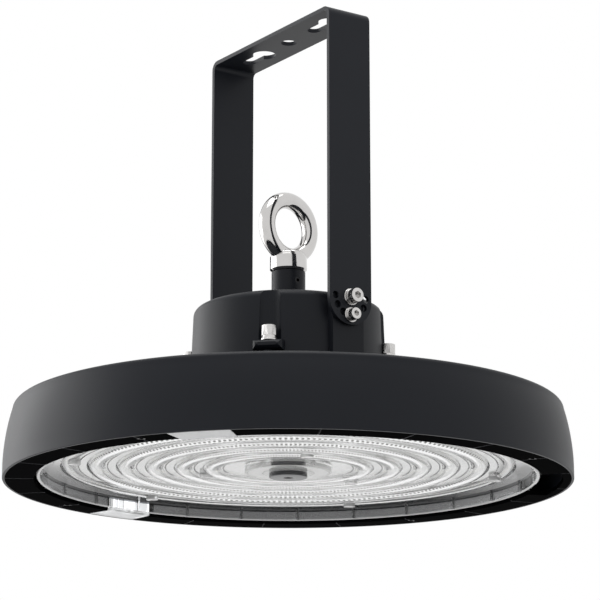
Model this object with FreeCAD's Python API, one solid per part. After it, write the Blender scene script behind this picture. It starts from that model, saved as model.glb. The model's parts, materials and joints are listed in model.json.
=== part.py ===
import FreeCAD, Part
import math
import os

from FreeCAD import Vector

# High bay light: a round die-cast lamp body with radial cooling fins, a driver box on
# top, a folded strap bracket, an eyebolt and a clear ring lens over a board of small
# lamps. Millimetres, +Z up. The origin is the centre of the bracket's middle fixing
# hole, on the face that goes against the ceiling. The bracket's legs lie on +X and -X.
# The light hangs below the origin, so its heights are chained downwards from there.

# Bracket strap
STRAP_WIDTH = 30.0
STRAP_THICK = 2.5
STRAP_BEND_R = 5.5
LEG_OUTER_X = 64.8
PIVOT_DROP = 179.5
LEG_BELOW_PIVOT = 16.6
PIVOT_ABOVE_SEAT = 37.5
MIDDLE_HOLE_D = 9.8
KEYHOLE_NEAR_X = 27.5
KEYHOLE_FAR_X = 44.5
KEYHOLE_ROUND_D = 15.0
KEYHOLE_SLOT_W = 8.0
INDEX_HOLE_COUNT = 7
INDEX_HOLE_STEP = 30.0
INDEX_RADIUS = 10.8

# Driver box
BOX_BASE_R = 59.0
BOX_TOP_R = 57.5
BOX_HEIGHT = 40.5
BOX_WALL = 4.0
FLUTE_WALL = 2.8
BOX_EDGE_R = 4.5
BOX_FLANGE_R = 61.5
BOX_FLANGE_IN_R = 52.0
BOX_FLANGE_THICK = 2.5
PAD_WIDTH = 22.0
PAD_DEPTH = 11.0
LUG_COUNT = 4
LUG_FIRST_ANGLE = 45.0
LUG_WIDTH = 18.0
LUG_OUTER_R = 68.0
LUG_RISE = 2.0
LUG_THICK = 6.0
LUG_CORNER_R = 4.0
LUG_SCREW_R = 61.0
FLUTE_AXIS_R = 62.5
FLUTE_CUT_R = 8.0
BOSS_D = 20.6
BOSS_HEIGHT = 24.5
BOSS_BORE_DEPTH = 19.0
BOSS_FOOT_R = 2.5
BOX_GASKET_INSET = 1.4

# Cast lamp body
RIM_R = 170.0
RIM_HEIGHT = 44.2
RIM_STRAIGHT = 8.0
RIM_TAPER = 5.0
RIM_BULGE = 1.1
RIM_SHOULDER_R = 3.2
RIM_WALL = 3.6
RIM_LIP = 1.5
RIM_INNER_SLOPE = 0.5
BODY_HEIGHT = 64.0
BODY_PLATE_TOP = 21.0
HUB_R = 58.0
HUB_WALL = 5.0
HUB_TOP_THICK = 6.0
PILLAR_D = 8.0
FIN_COUNT = 36
FIN_THICK = 2.2
FIN_LOW_HEIGHT = 40.5
FIN_HIGH_HEIGHT = 60.5
FIN_HIGH_R = 64.0
LEAD_BORE_D = 12.0
LEAD_BORE_R = 30.0

# Bezel ring that clamps the lens
BEZEL_WIDTH = 17.5
BEZEL_THICK = 2.5
BEZEL_UPSTAND = 2.5
BEZEL_EDGE_R = 1.2
BEZEL_BOSS_D = 7.0
BEZEL_SCREW_COUNT = 4
BEZEL_SCREW_ANGLE = 25.67
BEZEL_SCREW_INSET = 9.0
BEZEL_SCREW_SINK = 0.3
GROOVE_COUNT = 20
GROOVE_ANGLE = 7.67
GROOVE_WIDTH = 0.6
GROOVE_DEPTH = 0.4

# Clear lens
LENS_CLAMP_DEPTH = 10.0
LENS_FLANGE_WIDTH = 6.0
LENS_FLANGE_THICK = 2.0
LENS_SKIRT_WALL = 2.5
LENS_SKIRT_LOW = 1.5
LENS_PLATE_LOW = 9.0
LENS_PLATE_THICK = 2.0
LENS_HOLE_D = 15.6
LENS_CENTRE_R = 26.0
LENS_CENTRE_DEPTH = 2.8
RING_COUNT = 6
RING_OUTER_INSET = 18.0
RING_PITCH = 17.25
RING_HALF_WIDTH = 5.5
RING_DEPTH = 2.5
RING_OUTER_HALF_WIDTH = 4.0
RING_OUTER_DEPTH = 1.2
RING_GROOVE_HALF = 3.5
RING_GROOVE_DEPTH = 1.8
RIB_COUNT = 25
RIB_ANGLE = 143.6
RIB_WIDTH = 1.6
RIB_DEPTH = 1.2
POST_D = 7.6
POST_LENGTH = 2.8
OUTER_POST_COUNT = 6
OUTER_POST_INSET = 21.4
INNER_POST_COUNT = 3
INNER_POST_OFFSET = 6.55
INNER_POST_ANGLE = 98.0
POST_ANGLE = 67.8
TAB_DEPTH = 13.0
TAB_LIP = 0.5
TAB_FOOT_THICK = 1.2
TAB_WALL = 1.5
TAB_SLOT_D = 5.0
TAB_RIB_COUNT = 2
TAB_RIB_STEP = 4.0
TAB_BLOCK_LENGTH = 9.0
TAB_BLOCK_DEPTH = 5.0
TAB_WINDOW = 2.6
GASKET_THICK = 1.6
GASKET_INSET = 0.5

# Lamp board
BOARD_SEAT_STEP = 2.4
BOARD_IN_R = 22.0
BOARD_THICK = 1.6
BOARD_EDGE_INSET = 11.0
LED_PITCH = 16.5
LED_LENGTH = 3.5
LED_WIDTH = 2.8
LED_THICK = 0.7
BOARD_OUTER_SCREW_INSET = 15.6
BOARD_INNER_SCREW_INSET = 1.0

# Lens centre
PLUG_D = 22.8
PLUG_THICK = 2.7
PLATE_D = 52.0
PLATE_THICK = 1.2
PLATE_BOSS_D = 8.0
PLATE_BOSS_HEIGHT = 3.0
CENTRE_SCREW_SINK = 0.2

# Eyebolt, with a 10 mm thread
EYE_SHANK_D = 10.0
EYE_SHANK_LENGTH = 18.0
EYE_COLLAR_D = 22.6
EYE_COLLAR_HEIGHT = 9.6
EYE_COLLAR_EDGE = 1.2
EYE_NECK_D = 14.0
EYE_NECK_CURVE = 2.6
EYE_NECK_HEIGHT = 3.0
EYE_NECK_TAPER = 1.0
EYE_RING_R = 17.5
EYE_SECTION_R = 5.0
EYE_CENTRE_HEIGHT = 27.7
EYE_ANGLE = 97.7
SET_SCREW_D = 4.0
SET_SCREW_BELOW_BOSS_TOP = 7.0
SET_SCREW_SOCKET = 2.0

# Driver, its terminal block and the leads to the board
DRIVER_BASE_R = 44.0
DRIVER_BASE_THICK = 2.0
DRIVER_CAN_R = 36.0
DRIVER_HEIGHT = 30.0
DRIVER_SCREW_COUNT = 3
TERMINAL_SIZE = (30.0, 14.0, 8.0)
LEAD_D = 2.6
LEAD_GAP = 5.0

# Cable gland, with a 16 mm thread
GLAND_ANGLE = 115.0
GLAND_ABOVE_BASE = 21.0
GLAND_FACE_R = 61.0
GLAND_PAD_D = 26.0
GLAND_PAD_IN_R = 51.0
GLAND_THREAD_D = 16.0
GLAND_FLATS = 22.0
GLAND_HEX_THICK = 5.0
GLAND_BORE_D = 10.0
GLAND_NECK_D = 17.0
GLAND_NECK_BORE_D = 13.0
GLAND_NECK_LENGTH = 8.5
GLAND_NUT_LENGTH = 14.0
GLAND_NUT_END = 4.0
GLAND_NUT_BORE_D = 9.0
GLAND_LOCK_THICK = 4.5
GLAND_SEAL_D = 12.8
GLAND_SEAL_BORE_D = 8.0

# Clearances
HOLE_GAP = 0.25
THREAD_GAP = 0.05
SLIP_GAP = 0.1
BOARD_GAP = 0.5
TAB_GAP = 0.4
LENS_SIDE_GAP = 1.0

# Shares of a screw's or washer's own size, and how far pieces of one casting run into each other
SOCKET_DEPTH_SHARE = 0.55
SOCKET_WIDTH_SHARE = 0.8
SPLIT_SHARE = 0.8
OVERLAP = 1.0
NEAR = 0.1


class Screw:
    """Sizes of a socket head screw with its two washers."""

    def __init__(self, thread_d, length, head_d, head_h, washer_d, washer_t, spring_d, spring_t):
        self.thread_d = thread_d
        self.length = length
        self.head_d = head_d
        self.head_h = head_h
        self.washer_d = washer_d
        self.washer_t = washer_t
        self.spring_d = spring_d
        self.spring_t = spring_t

    def stack(self):
        """Height of both washers under the head."""
        return self.washer_t + self.spring_t


PIVOT_SCREW = Screw(5.0, 15.0, 8.5, 5.0, 10.0, 1.0, 9.0, 1.3)
INDEX_SCREW = Screw(4.0, 13.0, 7.0, 4.0, 9.0, 0.8, 7.4, 1.1)
BOX_SCREW = Screw(5.0, 20.0, 8.4, 6.2, 9.6, 1.2, 8.8, 1.8)
BEZEL_SCREW = Screw(3.0, 17.3, 5.5, 2.0, 0.0, 0.0, 0.0, 0.0)
BOARD_SCREW = Screw(3.0, 5.4, 6.0, 2.0, 0.0, 0.0, 0.0, 0.0)
DRIVER_SCREW = Screw(3.0, 7.0, 5.5, 3.0, 0.0, 0.0, 0.0, 0.0)
CENTRE_SCREW = Screw(3.0, 9.0, 5.5, 1.6, 0.0, 0.0, 0.0, 0.0)

# Heights, chained down from the bracket's upper face
PIVOT_Z = -PIVOT_DROP
SEAT_Z = PIVOT_Z - PIVOT_ABOVE_SEAT
FACE_Z = SEAT_Z - BODY_HEIGHT
BOX_BASE_Z = SEAT_Z + GASKET_THICK
BOX_TOP_Z = BOX_BASE_Z + BOX_HEIGHT
BOSS_TOP_Z = BOX_TOP_Z + BOSS_HEIGHT
LUG_LOW_Z = BOX_BASE_Z + LUG_RISE
LUG_TOP_Z = LUG_LOW_Z + LUG_THICK
CLAMP_Z = FACE_Z + LENS_CLAMP_DEPTH
FLANGE_TOP_Z = CLAMP_Z + LENS_FLANGE_THICK
LENS_SEAT_Z = FLANGE_TOP_Z + GASKET_THICK
BOARD_SEAT_Z = LENS_SEAT_Z + BOARD_SEAT_STEP
BOARD_LOW_Z = BOARD_SEAT_Z - BOARD_THICK
PLATE_LOW_Z = FACE_Z + LENS_PLATE_LOW
PLATE_TOP_Z = PLATE_LOW_Z + LENS_PLATE_THICK
CENTRE_LOW_Z = PLATE_LOW_Z - LENS_CENTRE_DEPTH
BODY_PLATE_Z = FACE_Z + BODY_PLATE_TOP
LEG_INNER_X = LEG_OUTER_X - STRAP_THICK

# Radii, chained inwards from the rim
BEZEL_OUT_R = RIM_R - RIM_LIP
BEZEL_IN_R = BEZEL_OUT_R - BEZEL_WIDTH
BEZEL_SCREW_R = BEZEL_IN_R + BEZEL_SCREW_INSET
LENS_SKIRT_R = BEZEL_IN_R - LENS_SIDE_GAP
LENS_FLANGE_R = LENS_SKIRT_R + LENS_FLANGE_WIDTH
GASKET_IN_R = LENS_SKIRT_R + GASKET_INSET
TAB_BODY_R = LENS_SKIRT_R + TAB_DEPTH
BOARD_R = LENS_SKIRT_R - BOARD_EDGE_INSET
BOARD_OUTER_SCREW_R = BOARD_R - BOARD_OUTER_SCREW_INSET
BOARD_INNER_SCREW_R = HUB_R - BOARD_INNER_SCREW_INSET
RING_LAST_R = LENS_SKIRT_R - RING_OUTER_INSET
RING_FIRST_R = RING_LAST_R - RING_PITCH * (RING_COUNT - 1)
OUTER_POST_R = LENS_SKIRT_R - OUTER_POST_INSET
INNER_POST_R = RING_FIRST_R + INNER_POST_OFFSET


class Tab:
    """One clear tab of the lens, with the start of the bezel's opening around it, in degrees."""

    def __init__(self, first, last, opening, outer_r):
        self.first = first
        self.last = last
        self.opening = opening
        self.outer_r = outer_r


TABS = (
    Tab(302.8, 315.0, 302.6, BEZEL_OUT_R - TAB_LIP),
    Tab(182.6, 194.8, 182.4, BEZEL_OUT_R - TAB_LIP),
    Tab(59.6, 70.0, 43.67, TAB_BODY_R),
)

UP = Vector(0, 0, 1)


def polar(radius, angle, z=0.0):
    """Point at a radius and an angle in degrees about the light's axis."""
    turn = math.radians(angle)
    return Vector(radius * math.cos(turn), radius * math.sin(turn), z)


def disc(radius, low, high, centre=Vector(0, 0, 0)):
    """Upright cylinder between two heights."""
    return Part.makeCylinder(radius, high - low, Vector(centre.x, centre.y, low))


def ring(inner, outer, low, high, centre=Vector(0, 0, 0)):
    """Upright tube between two heights."""
    return disc(outer, low, high, centre).cut(disc(inner, low, high, centre))


def block(x_low, x_high, y_low, y_high, z_low, z_high):
    """Box between two corners."""
    return Part.makeBox(x_high - x_low, y_high - y_low, z_high - z_low, Vector(x_low, y_low, z_low))


def sector(inner, outer, low, high, first, last):
    """Piece of an upright tube between two angles in degrees."""
    wedge = Part.makeCylinder(outer, high - low, Vector(0, 0, low), UP, last - first)
    wedge.rotate(Vector(0, 0, 0), UP, first)
    return wedge.cut(disc(inner, low, high))


def turned(start, *steps):
    """Solid of revolution about Z. A step is a point, or an arc's middle and end points."""
    edges = []
    first = Vector(start[0], 0, start[1])
    here = first
    for step in steps:
        if isinstance(step[0], tuple):
            middle = Vector(step[0][0], 0, step[0][1])
            there = Vector(step[1][0], 0, step[1][1])
            edges.append(Part.Arc(here, middle, there).toShape())
        else:
            there = Vector(step[0], 0, step[1])
            edges.append(Part.makeLine(here, there))
        here = there
    if here.distanceToPoint(first) > NEAR:
        edges.append(Part.makeLine(here, first))
    face = Part.Face(Part.Wire(edges))
    return face.revolve(Vector(0, 0, 0), UP, 360)


def rod(start, end, diameter):
    """Cylinder from one point to another."""
    way = end - start
    return Part.makeCylinder(diameter / 2, way.Length, start, way)


def hexagon(start, way, flats, height):
    """Six-sided prism along a direction."""
    corner_r = flats / math.sqrt(3)
    points = [polar(corner_r, 60 * step) for step in range(7)]
    prism = Part.Face(Part.makePolygon(points)).extrude(Vector(0, 0, height))
    turn = FreeCAD.Rotation(UP, way)
    prism.Placement = FreeCAD.Placement(start, turn)
    return prism


def around(count, radius, first, z=0.0):
    """Evenly spaced points of a circle."""
    return [polar(radius, first + 360.0 / count * step, z) for step in range(count)]


def screw_solid(screw, seat, way):
    """Socket head screw: the head stands on the seat and the shank goes the other way."""
    head = rod(seat, seat + way * screw.head_h, screw.head_d)
    shank = rod(seat - way * screw.length, seat, screw.thread_d)
    depth = screw.head_h * SOCKET_DEPTH_SHARE
    socket = hexagon(seat + way * (screw.head_h - depth), way, screw.thread_d * SOCKET_WIDTH_SHARE, depth)
    return head.fuse(shank).cut(socket)


def washer_solid(seat, way, bore_d, outer_d, thick):
    """Flat ring that lies on the seat."""
    return rod(seat, seat + way * thick, outer_d).cut(rod(seat, seat + way * thick, bore_d))


def spring_washer_solid(seat, way, bore_d, outer_d, thick):
    """Ring with a narrow split."""
    whole = washer_solid(seat, way, bore_d, outer_d, thick)
    side = Vector(0, 1, 0)
    cuts = []
    for share in (0, 0.5, 1):
        level = seat + way * thick * share
        cuts.append(rod(level, level + side * outer_d, thick * SPLIT_SHARE))
    return whole.cut(cuts)


def fastened(screw, seats):
    """Screws, spring washers and flat washers for a list of (seat, direction) pairs."""
    bore_d = screw.thread_d + 2 * SLIP_GAP
    screws = []
    springs = []
    washers = []
    for seat, way in seats:
        washers.append(washer_solid(seat, way, bore_d, screw.washer_d, screw.washer_t))
        spring_seat = seat + way * screw.washer_t
        springs.append(spring_washer_solid(spring_seat, way, bore_d, screw.spring_d, screw.spring_t))
        screws.append(screw_solid(screw, seat + way * screw.stack(), way))
    return screws, springs, washers


def leg_seats(below_pivot):
    """Where a screw's washer meets each leg's outer face."""
    height = PIVOT_Z - below_pivot
    return [(Vector(side * LEG_OUTER_X, 0, height), Vector(side, 0, 0)) for side in (1, -1)]


def lug_points(z):
    """Axes of the screws that hold the driver box."""
    return around(LUG_COUNT, LUG_SCREW_R, LUG_FIRST_ANGLE, z)


def u_bracket():
    """Steel strap folded to a U, with keyholes on top and index holes at the pivots."""
    half = STRAP_WIDTH / 2
    end_z = PIVOT_Z - LEG_BELOW_PIVOT
    outer = block(-LEG_OUTER_X, LEG_OUTER_X, -half, half, end_z, 0)
    top_edges = [e for e in outer.Edges if e.BoundBox.ZMin > -NEAR and e.BoundBox.YLength > half]
    outer = outer.makeFillet(STRAP_BEND_R, top_edges)
    inner = block(-LEG_INNER_X, LEG_INNER_X, -half, half, end_z, -STRAP_THICK)
    bend_edges = [e for e in inner.Edges
                  if e.BoundBox.ZMin > -STRAP_THICK - NEAR and e.BoundBox.YLength > half]
    inner = inner.makeFillet(STRAP_BEND_R - STRAP_THICK, bend_edges)
    strap = outer.cut(inner)
    round_z = end_z + half
    ends = rod(Vector(-LEG_OUTER_X, 0, round_z), Vector(LEG_OUTER_X, 0, round_z), STRAP_WIDTH)
    ends = ends.fuse(block(-LEG_OUTER_X, LEG_OUTER_X, -half, half, round_z, 0))
    strap = strap.common(ends)
    cuts = [disc(MIDDLE_HOLE_D / 2, -STRAP_THICK, 0)]
    cuts += [keyhole(-KEYHOLE_NEAR_X, -KEYHOLE_FAR_X), keyhole(KEYHOLE_FAR_X, KEYHOLE_NEAR_X)]
    cuts.append(through_legs(PIVOT_Z, 0, PIVOT_SCREW.thread_d))
    for step in range(INDEX_HOLE_COUNT):
        turn = math.radians(-INDEX_HOLE_STEP * step)
        across = INDEX_RADIUS * math.cos(turn)
        height = PIVOT_Z + INDEX_RADIUS * math.sin(turn)
        cuts.append(through_legs(height, across, INDEX_SCREW.thread_d))
    return strap.cut(cuts)


def through_legs(height, across, thread_d):
    """Hole cutter that passes through both legs."""
    start = Vector(-LEG_OUTER_X, across, height)
    return rod(start, start + Vector(2 * LEG_OUTER_X, 0, 0), thread_d + 2 * HOLE_GAP)


def keyhole(round_x, slot_x):
    """Cutter for a round hole that runs into a slot."""
    round_part = disc(KEYHOLE_ROUND_D / 2, -STRAP_THICK, 0, Vector(round_x, 0, 0))
    slot_end = disc(KEYHOLE_SLOT_W / 2, -STRAP_THICK, 0, Vector(slot_x, 0, 0))
    half = KEYHOLE_SLOT_W / 2
    slot = block(min(round_x, slot_x), max(round_x, slot_x), -half, half, -STRAP_THICK, 0)
    return round_part.fuse([slot_end, slot])


def box_shell_outside():
    """Outside of the driver box: drafted drum, base flange, leg pads, lugs and gland pad."""
    drum = turned((0, BOX_BASE_Z), (BOX_BASE_R, BOX_BASE_Z), (BOX_TOP_R, BOX_TOP_Z), (0, BOX_TOP_Z))
    top_edges = [e for e in drum.Edges
                 if e.BoundBox.ZMin > BOX_TOP_Z - NEAR and e.BoundBox.XLength > BOX_TOP_R]
    drum = drum.makeFillet(BOX_EDGE_R, top_edges)
    pieces = [disc(BOX_FLANGE_R, BOX_BASE_Z, BOX_BASE_Z + BOX_FLANGE_THICK)]
    pad_top = BOX_TOP_Z - BOX_EDGE_R / 2
    pieces.append(block(-LEG_INNER_X, LEG_INNER_X, -PAD_WIDTH / 2, PAD_WIDTH / 2, BOX_BASE_Z, pad_top))
    pieces += [lug(step) for step in range(LUG_COUNT)]
    pieces.append(rod(gland_point(0), gland_point(GLAND_FACE_R), GLAND_PAD_D))
    return drum.fuse(pieces)


def lug(step):
    """Ear under one corner screw of the driver box."""
    half = LUG_WIDTH / 2
    ear = block(BOX_BASE_R / 2, LUG_OUTER_R, -half, half, LUG_LOW_Z, LUG_TOP_Z)
    corners = [e for e in ear.Edges if e.BoundBox.ZLength > LUG_THICK / 2 and e.BoundBox.XMin > BOX_BASE_R]
    ear = ear.makeFillet(LUG_CORNER_R, corners)
    ear.rotate(Vector(0, 0, 0), UP, LUG_FIRST_ANGLE + 360.0 / LUG_COUNT * step)
    return ear


def box_cavity():
    """Space inside the driver box, which keeps its wall behind flutes, pads and gland."""
    ceiling = BOX_TOP_Z - BOX_WALL
    room = turned((0, BOX_BASE_Z + BOX_FLANGE_THICK), (BOX_BASE_R - BOX_WALL, BOX_BASE_Z + BOX_FLANGE_THICK),
                  (BOX_TOP_R - BOX_WALL, ceiling), (0, ceiling))
    keep = [disc(FLUTE_CUT_R + FLUTE_WALL, BOX_BASE_Z, BOX_TOP_Z, centre)
            for centre in around(LUG_COUNT, FLUTE_AXIS_R, LUG_FIRST_ANGLE)]
    pad_in = LEG_INNER_X - PAD_DEPTH
    for low, high in ((pad_in, LEG_INNER_X), (-LEG_INNER_X, -pad_in)):
        keep.append(block(low, high, -PAD_WIDTH / 2, PAD_WIDTH / 2, BOX_BASE_Z, BOX_TOP_Z))
    keep.append(rod(gland_point(GLAND_PAD_IN_R), gland_point(GLAND_FACE_R), GLAND_PAD_D))
    neck = disc(BOX_FLANGE_IN_R, BOX_BASE_Z, BOX_BASE_Z + BOX_FLANGE_THICK)
    return room.cut(keep).fuse(neck.cut(keep[LUG_COUNT:LUG_COUNT + 2]))


def driver_box():
    """Cast box with a threaded boss on top, flutes for its screws and flat pads for the legs."""
    boss = disc(BOSS_D / 2, BOX_TOP_Z - BOX_WALL, BOSS_TOP_Z)
    foot_r = BOSS_D / 2 + BOSS_FOOT_R
    curve = BOSS_FOOT_R * (1 - math.sqrt(0.5))
    boss_foot = turned((0, BOX_TOP_Z - OVERLAP), (foot_r, BOX_TOP_Z - OVERLAP), (foot_r, BOX_TOP_Z),
                       ((BOSS_D / 2 + curve, BOX_TOP_Z + curve), (BOSS_D / 2, BOX_TOP_Z + BOSS_FOOT_R)),
                       (0, BOX_TOP_Z + BOSS_FOOT_R))
    shell = box_shell_outside().cut(box_cavity()).fuse([boss, boss_foot])
    cuts = [disc(EYE_SHANK_D / 2 + THREAD_GAP, BOSS_TOP_Z - BOSS_BORE_DEPTH, BOSS_TOP_Z)]
    set_z = BOSS_TOP_Z - SET_SCREW_BELOW_BOSS_TOP
    cuts.append(rod(Vector(0, 0, set_z), Vector(BOSS_D, 0, set_z), SET_SCREW_D + 2 * THREAD_GAP))
    for centre in around(LUG_COUNT, FLUTE_AXIS_R, LUG_FIRST_ANGLE):
        cuts.append(disc(FLUTE_CUT_R, LUG_TOP_Z, BOX_TOP_Z, centre))
    for centre in lug_points(0):
        cuts.append(disc(BOX_SCREW.thread_d / 2 + HOLE_GAP, LUG_LOW_Z, LUG_TOP_Z, centre))
        cuts.append(disc(PILLAR_D / 2 + HOLE_GAP, BOX_BASE_Z, LUG_LOW_Z, centre))
    for screw, below in ((PIVOT_SCREW, 0.0), (INDEX_SCREW, INDEX_RADIUS)):
        for seat, way in leg_seats(below):
            tip = seat - way * (screw.length - screw.stack() + HOLE_GAP)
            cuts.append(rod(tip, seat, screw.thread_d + 2 * THREAD_GAP))
    pad_in = gland_point(GLAND_PAD_IN_R - GLAND_LOCK_THICK)
    cuts.append(rod(pad_in, gland_point(GLAND_FACE_R), GLAND_THREAD_D + 2 * SLIP_GAP))
    return shell.cut(cuts)


def housing():
    """Cast lamp body: a tall rim, a plate with radial fins and a hub that carries the box."""
    bore_r = HUB_R - HUB_WALL
    rim_in = RIM_R - RIM_TAPER - RIM_WALL
    low_in = BEZEL_OUT_R - RIM_LIP
    shoulder_z = FACE_Z + RIM_HEIGHT - RIM_SHOULDER_R
    straight_z = FACE_Z + RIM_STRAIGHT
    rim_top = FACE_Z + RIM_HEIGHT
    shoulder_r = RIM_R - RIM_TAPER
    bulge = (RIM_R - RIM_TAPER / 2 + RIM_BULGE, (straight_z + shoulder_z) / 2)
    turn = RIM_SHOULDER_R * math.sqrt(0.5)
    crown = (shoulder_r - RIM_SHOULDER_R + turn, shoulder_z + turn)
    cast = turned(
        (BEZEL_OUT_R, FACE_Z),
        (RIM_R, FACE_Z),
        (RIM_R, straight_z),
        (bulge, (shoulder_r, shoulder_z)),
        (crown, (shoulder_r - RIM_SHOULDER_R, rim_top)),
        (rim_in, rim_top - RIM_INNER_SLOPE),
        (rim_in, BODY_PLATE_Z),
        (HUB_R, BODY_PLATE_Z),
        (HUB_R, SEAT_Z),
        (0, SEAT_Z),
        (0, SEAT_Z - HUB_TOP_THICK),
        (bore_r, SEAT_Z - HUB_TOP_THICK),
        (bore_r, BOARD_SEAT_Z),
        (BOARD_R + BOARD_GAP, BOARD_SEAT_Z),
        (BOARD_R + BOARD_GAP, LENS_SEAT_Z),
        (low_in, LENS_SEAT_Z),
        (low_in, FACE_Z + BEZEL_THICK),
        (BEZEL_OUT_R, FACE_Z + BEZEL_THICK),
    )
    rim_wall_r = RIM_R - RIM_TAPER - RIM_WALL / 2
    fin_in = HUB_R - OVERLAP
    fin_low = BODY_PLATE_Z - OVERLAP
    fin_outline = [
        Vector(fin_in, 0, fin_low),
        Vector(rim_wall_r, 0, fin_low),
        Vector(rim_wall_r, 0, FACE_Z + FIN_LOW_HEIGHT),
        Vector(FIN_HIGH_R, 0, FACE_Z + FIN_HIGH_HEIGHT),
        Vector(fin_in, 0, FACE_Z + FIN_HIGH_HEIGHT),
    ]
    fin = Part.Face(Part.makePolygon(fin_outline + fin_outline[:1])).extrude(Vector(0, FIN_THICK, 0))
    fin.translate(Vector(0, -FIN_THICK / 2, 0))
    pieces = []
    for step in range(FIN_COUNT):
        copy = fin.copy()
        copy.rotate(Vector(0, 0, 0), UP, 360.0 / FIN_COUNT * (step + 0.5))
        pieces.append(copy)
    pieces += [disc(PILLAR_D / 2, fin_low, LUG_LOW_Z, centre) for centre in lug_points(0)]
    cast = cast.fuse(pieces)
    cuts = [disc(LEAD_BORE_D / 2, SEAT_Z - HUB_TOP_THICK, SEAT_Z, Vector(0, LEAD_BORE_R, 0))]
    screw_low = LUG_TOP_Z + BOX_SCREW.stack() - BOX_SCREW.length - HOLE_GAP
    for centre in lug_points(0):
        cuts.append(disc(BOX_SCREW.thread_d / 2 + THREAD_GAP, screw_low, LUG_LOW_Z, centre))
    bezel_tip = bezel_screw_seat() + BEZEL_SCREW.length + HOLE_GAP
    for centre in around(BEZEL_SCREW_COUNT, BEZEL_SCREW_R, BEZEL_SCREW_ANGLE):
        cuts.append(disc(BEZEL_SCREW.thread_d / 2 + THREAD_GAP, LENS_SEAT_Z, bezel_tip, centre))
    for centre in board_screw_points():
        tip = BOARD_LOW_Z + BOARD_SCREW.length + HOLE_GAP
        cuts.append(disc(BOARD_SCREW.thread_d / 2 + THREAD_GAP, BOARD_SEAT_Z, tip, centre))
    for centre in driver_screw_points():
        cuts.append(disc(DRIVER_SCREW.thread_d / 2 + THREAD_GAP, SEAT_Z - HUB_TOP_THICK, SEAT_Z, centre))
    return cast.cut(cuts)


def bezel_screw_seat():
    """Height of the counterbore's floor, where a bezel screw's head bears."""
    return FACE_Z + BEZEL_SCREW.head_h + BEZEL_SCREW_SINK


def bezel_ring():
    """Flat black ring with an upstand that presses the lens against its seal."""
    edge = BEZEL_EDGE_R * (1 - math.sqrt(0.5))
    plate = turned(
        (BEZEL_IN_R + BEZEL_EDGE_R, FACE_Z),
        (BEZEL_OUT_R - SLIP_GAP, FACE_Z),
        (BEZEL_OUT_R - SLIP_GAP, FACE_Z + BEZEL_THICK),
        (BEZEL_IN_R + BEZEL_UPSTAND, FACE_Z + BEZEL_THICK),
        (BEZEL_IN_R + BEZEL_UPSTAND, CLAMP_Z),
        (BEZEL_IN_R, CLAMP_Z),
        (BEZEL_IN_R, FACE_Z + BEZEL_EDGE_R),
        ((BEZEL_IN_R + edge, FACE_Z + edge), (BEZEL_IN_R + BEZEL_EDGE_R, FACE_Z)),
    )
    points = around(BEZEL_SCREW_COUNT, BEZEL_SCREW_R, BEZEL_SCREW_ANGLE)
    whole = plate.fuse([disc(BEZEL_BOSS_D / 2, FACE_Z, LENS_SEAT_Z, centre) for centre in points])
    cuts = []
    for centre in points:
        cuts.append(disc(BEZEL_SCREW.head_d / 2 + SLIP_GAP, FACE_Z, bezel_screw_seat(), centre))
        cuts.append(disc(BEZEL_SCREW.thread_d / 2 + HOLE_GAP, FACE_Z, LENS_SEAT_Z, centre))
    slack = math.degrees(TAB_GAP / TAB_BODY_R)
    for tab in TABS:
        body_r = TAB_BODY_R + TAB_GAP
        foot_top = FACE_Z + TAB_FOOT_THICK + SLIP_GAP
        cuts.append(sector(LENS_SKIRT_R, body_r, FACE_Z, LENS_SEAT_Z, tab.opening, tab.last + slack))
        if tab.outer_r > TAB_BODY_R:
            cuts.append(sector(LENS_SKIRT_R, RIM_R, FACE_Z, foot_top, tab.opening, tab.last + slack))
    for step in range(GROOVE_COUNT):
        line = block(BEZEL_IN_R, RIM_R, -GROOVE_WIDTH / 2, GROOVE_WIDTH / 2, FACE_Z, FACE_Z + GROOVE_DEPTH)
        line.rotate(Vector(0, 0, 0), UP, GROOVE_ANGLE + 360.0 / GROOVE_COUNT * step)
        cuts.append(line)
    return whole.cut(cuts)


def ring_radii():
    """Centre lines of the ring lenses, each over a circle of lamps."""
    return [RING_LAST_R - RING_PITCH * step for step in reversed(range(RING_COUNT))]


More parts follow.
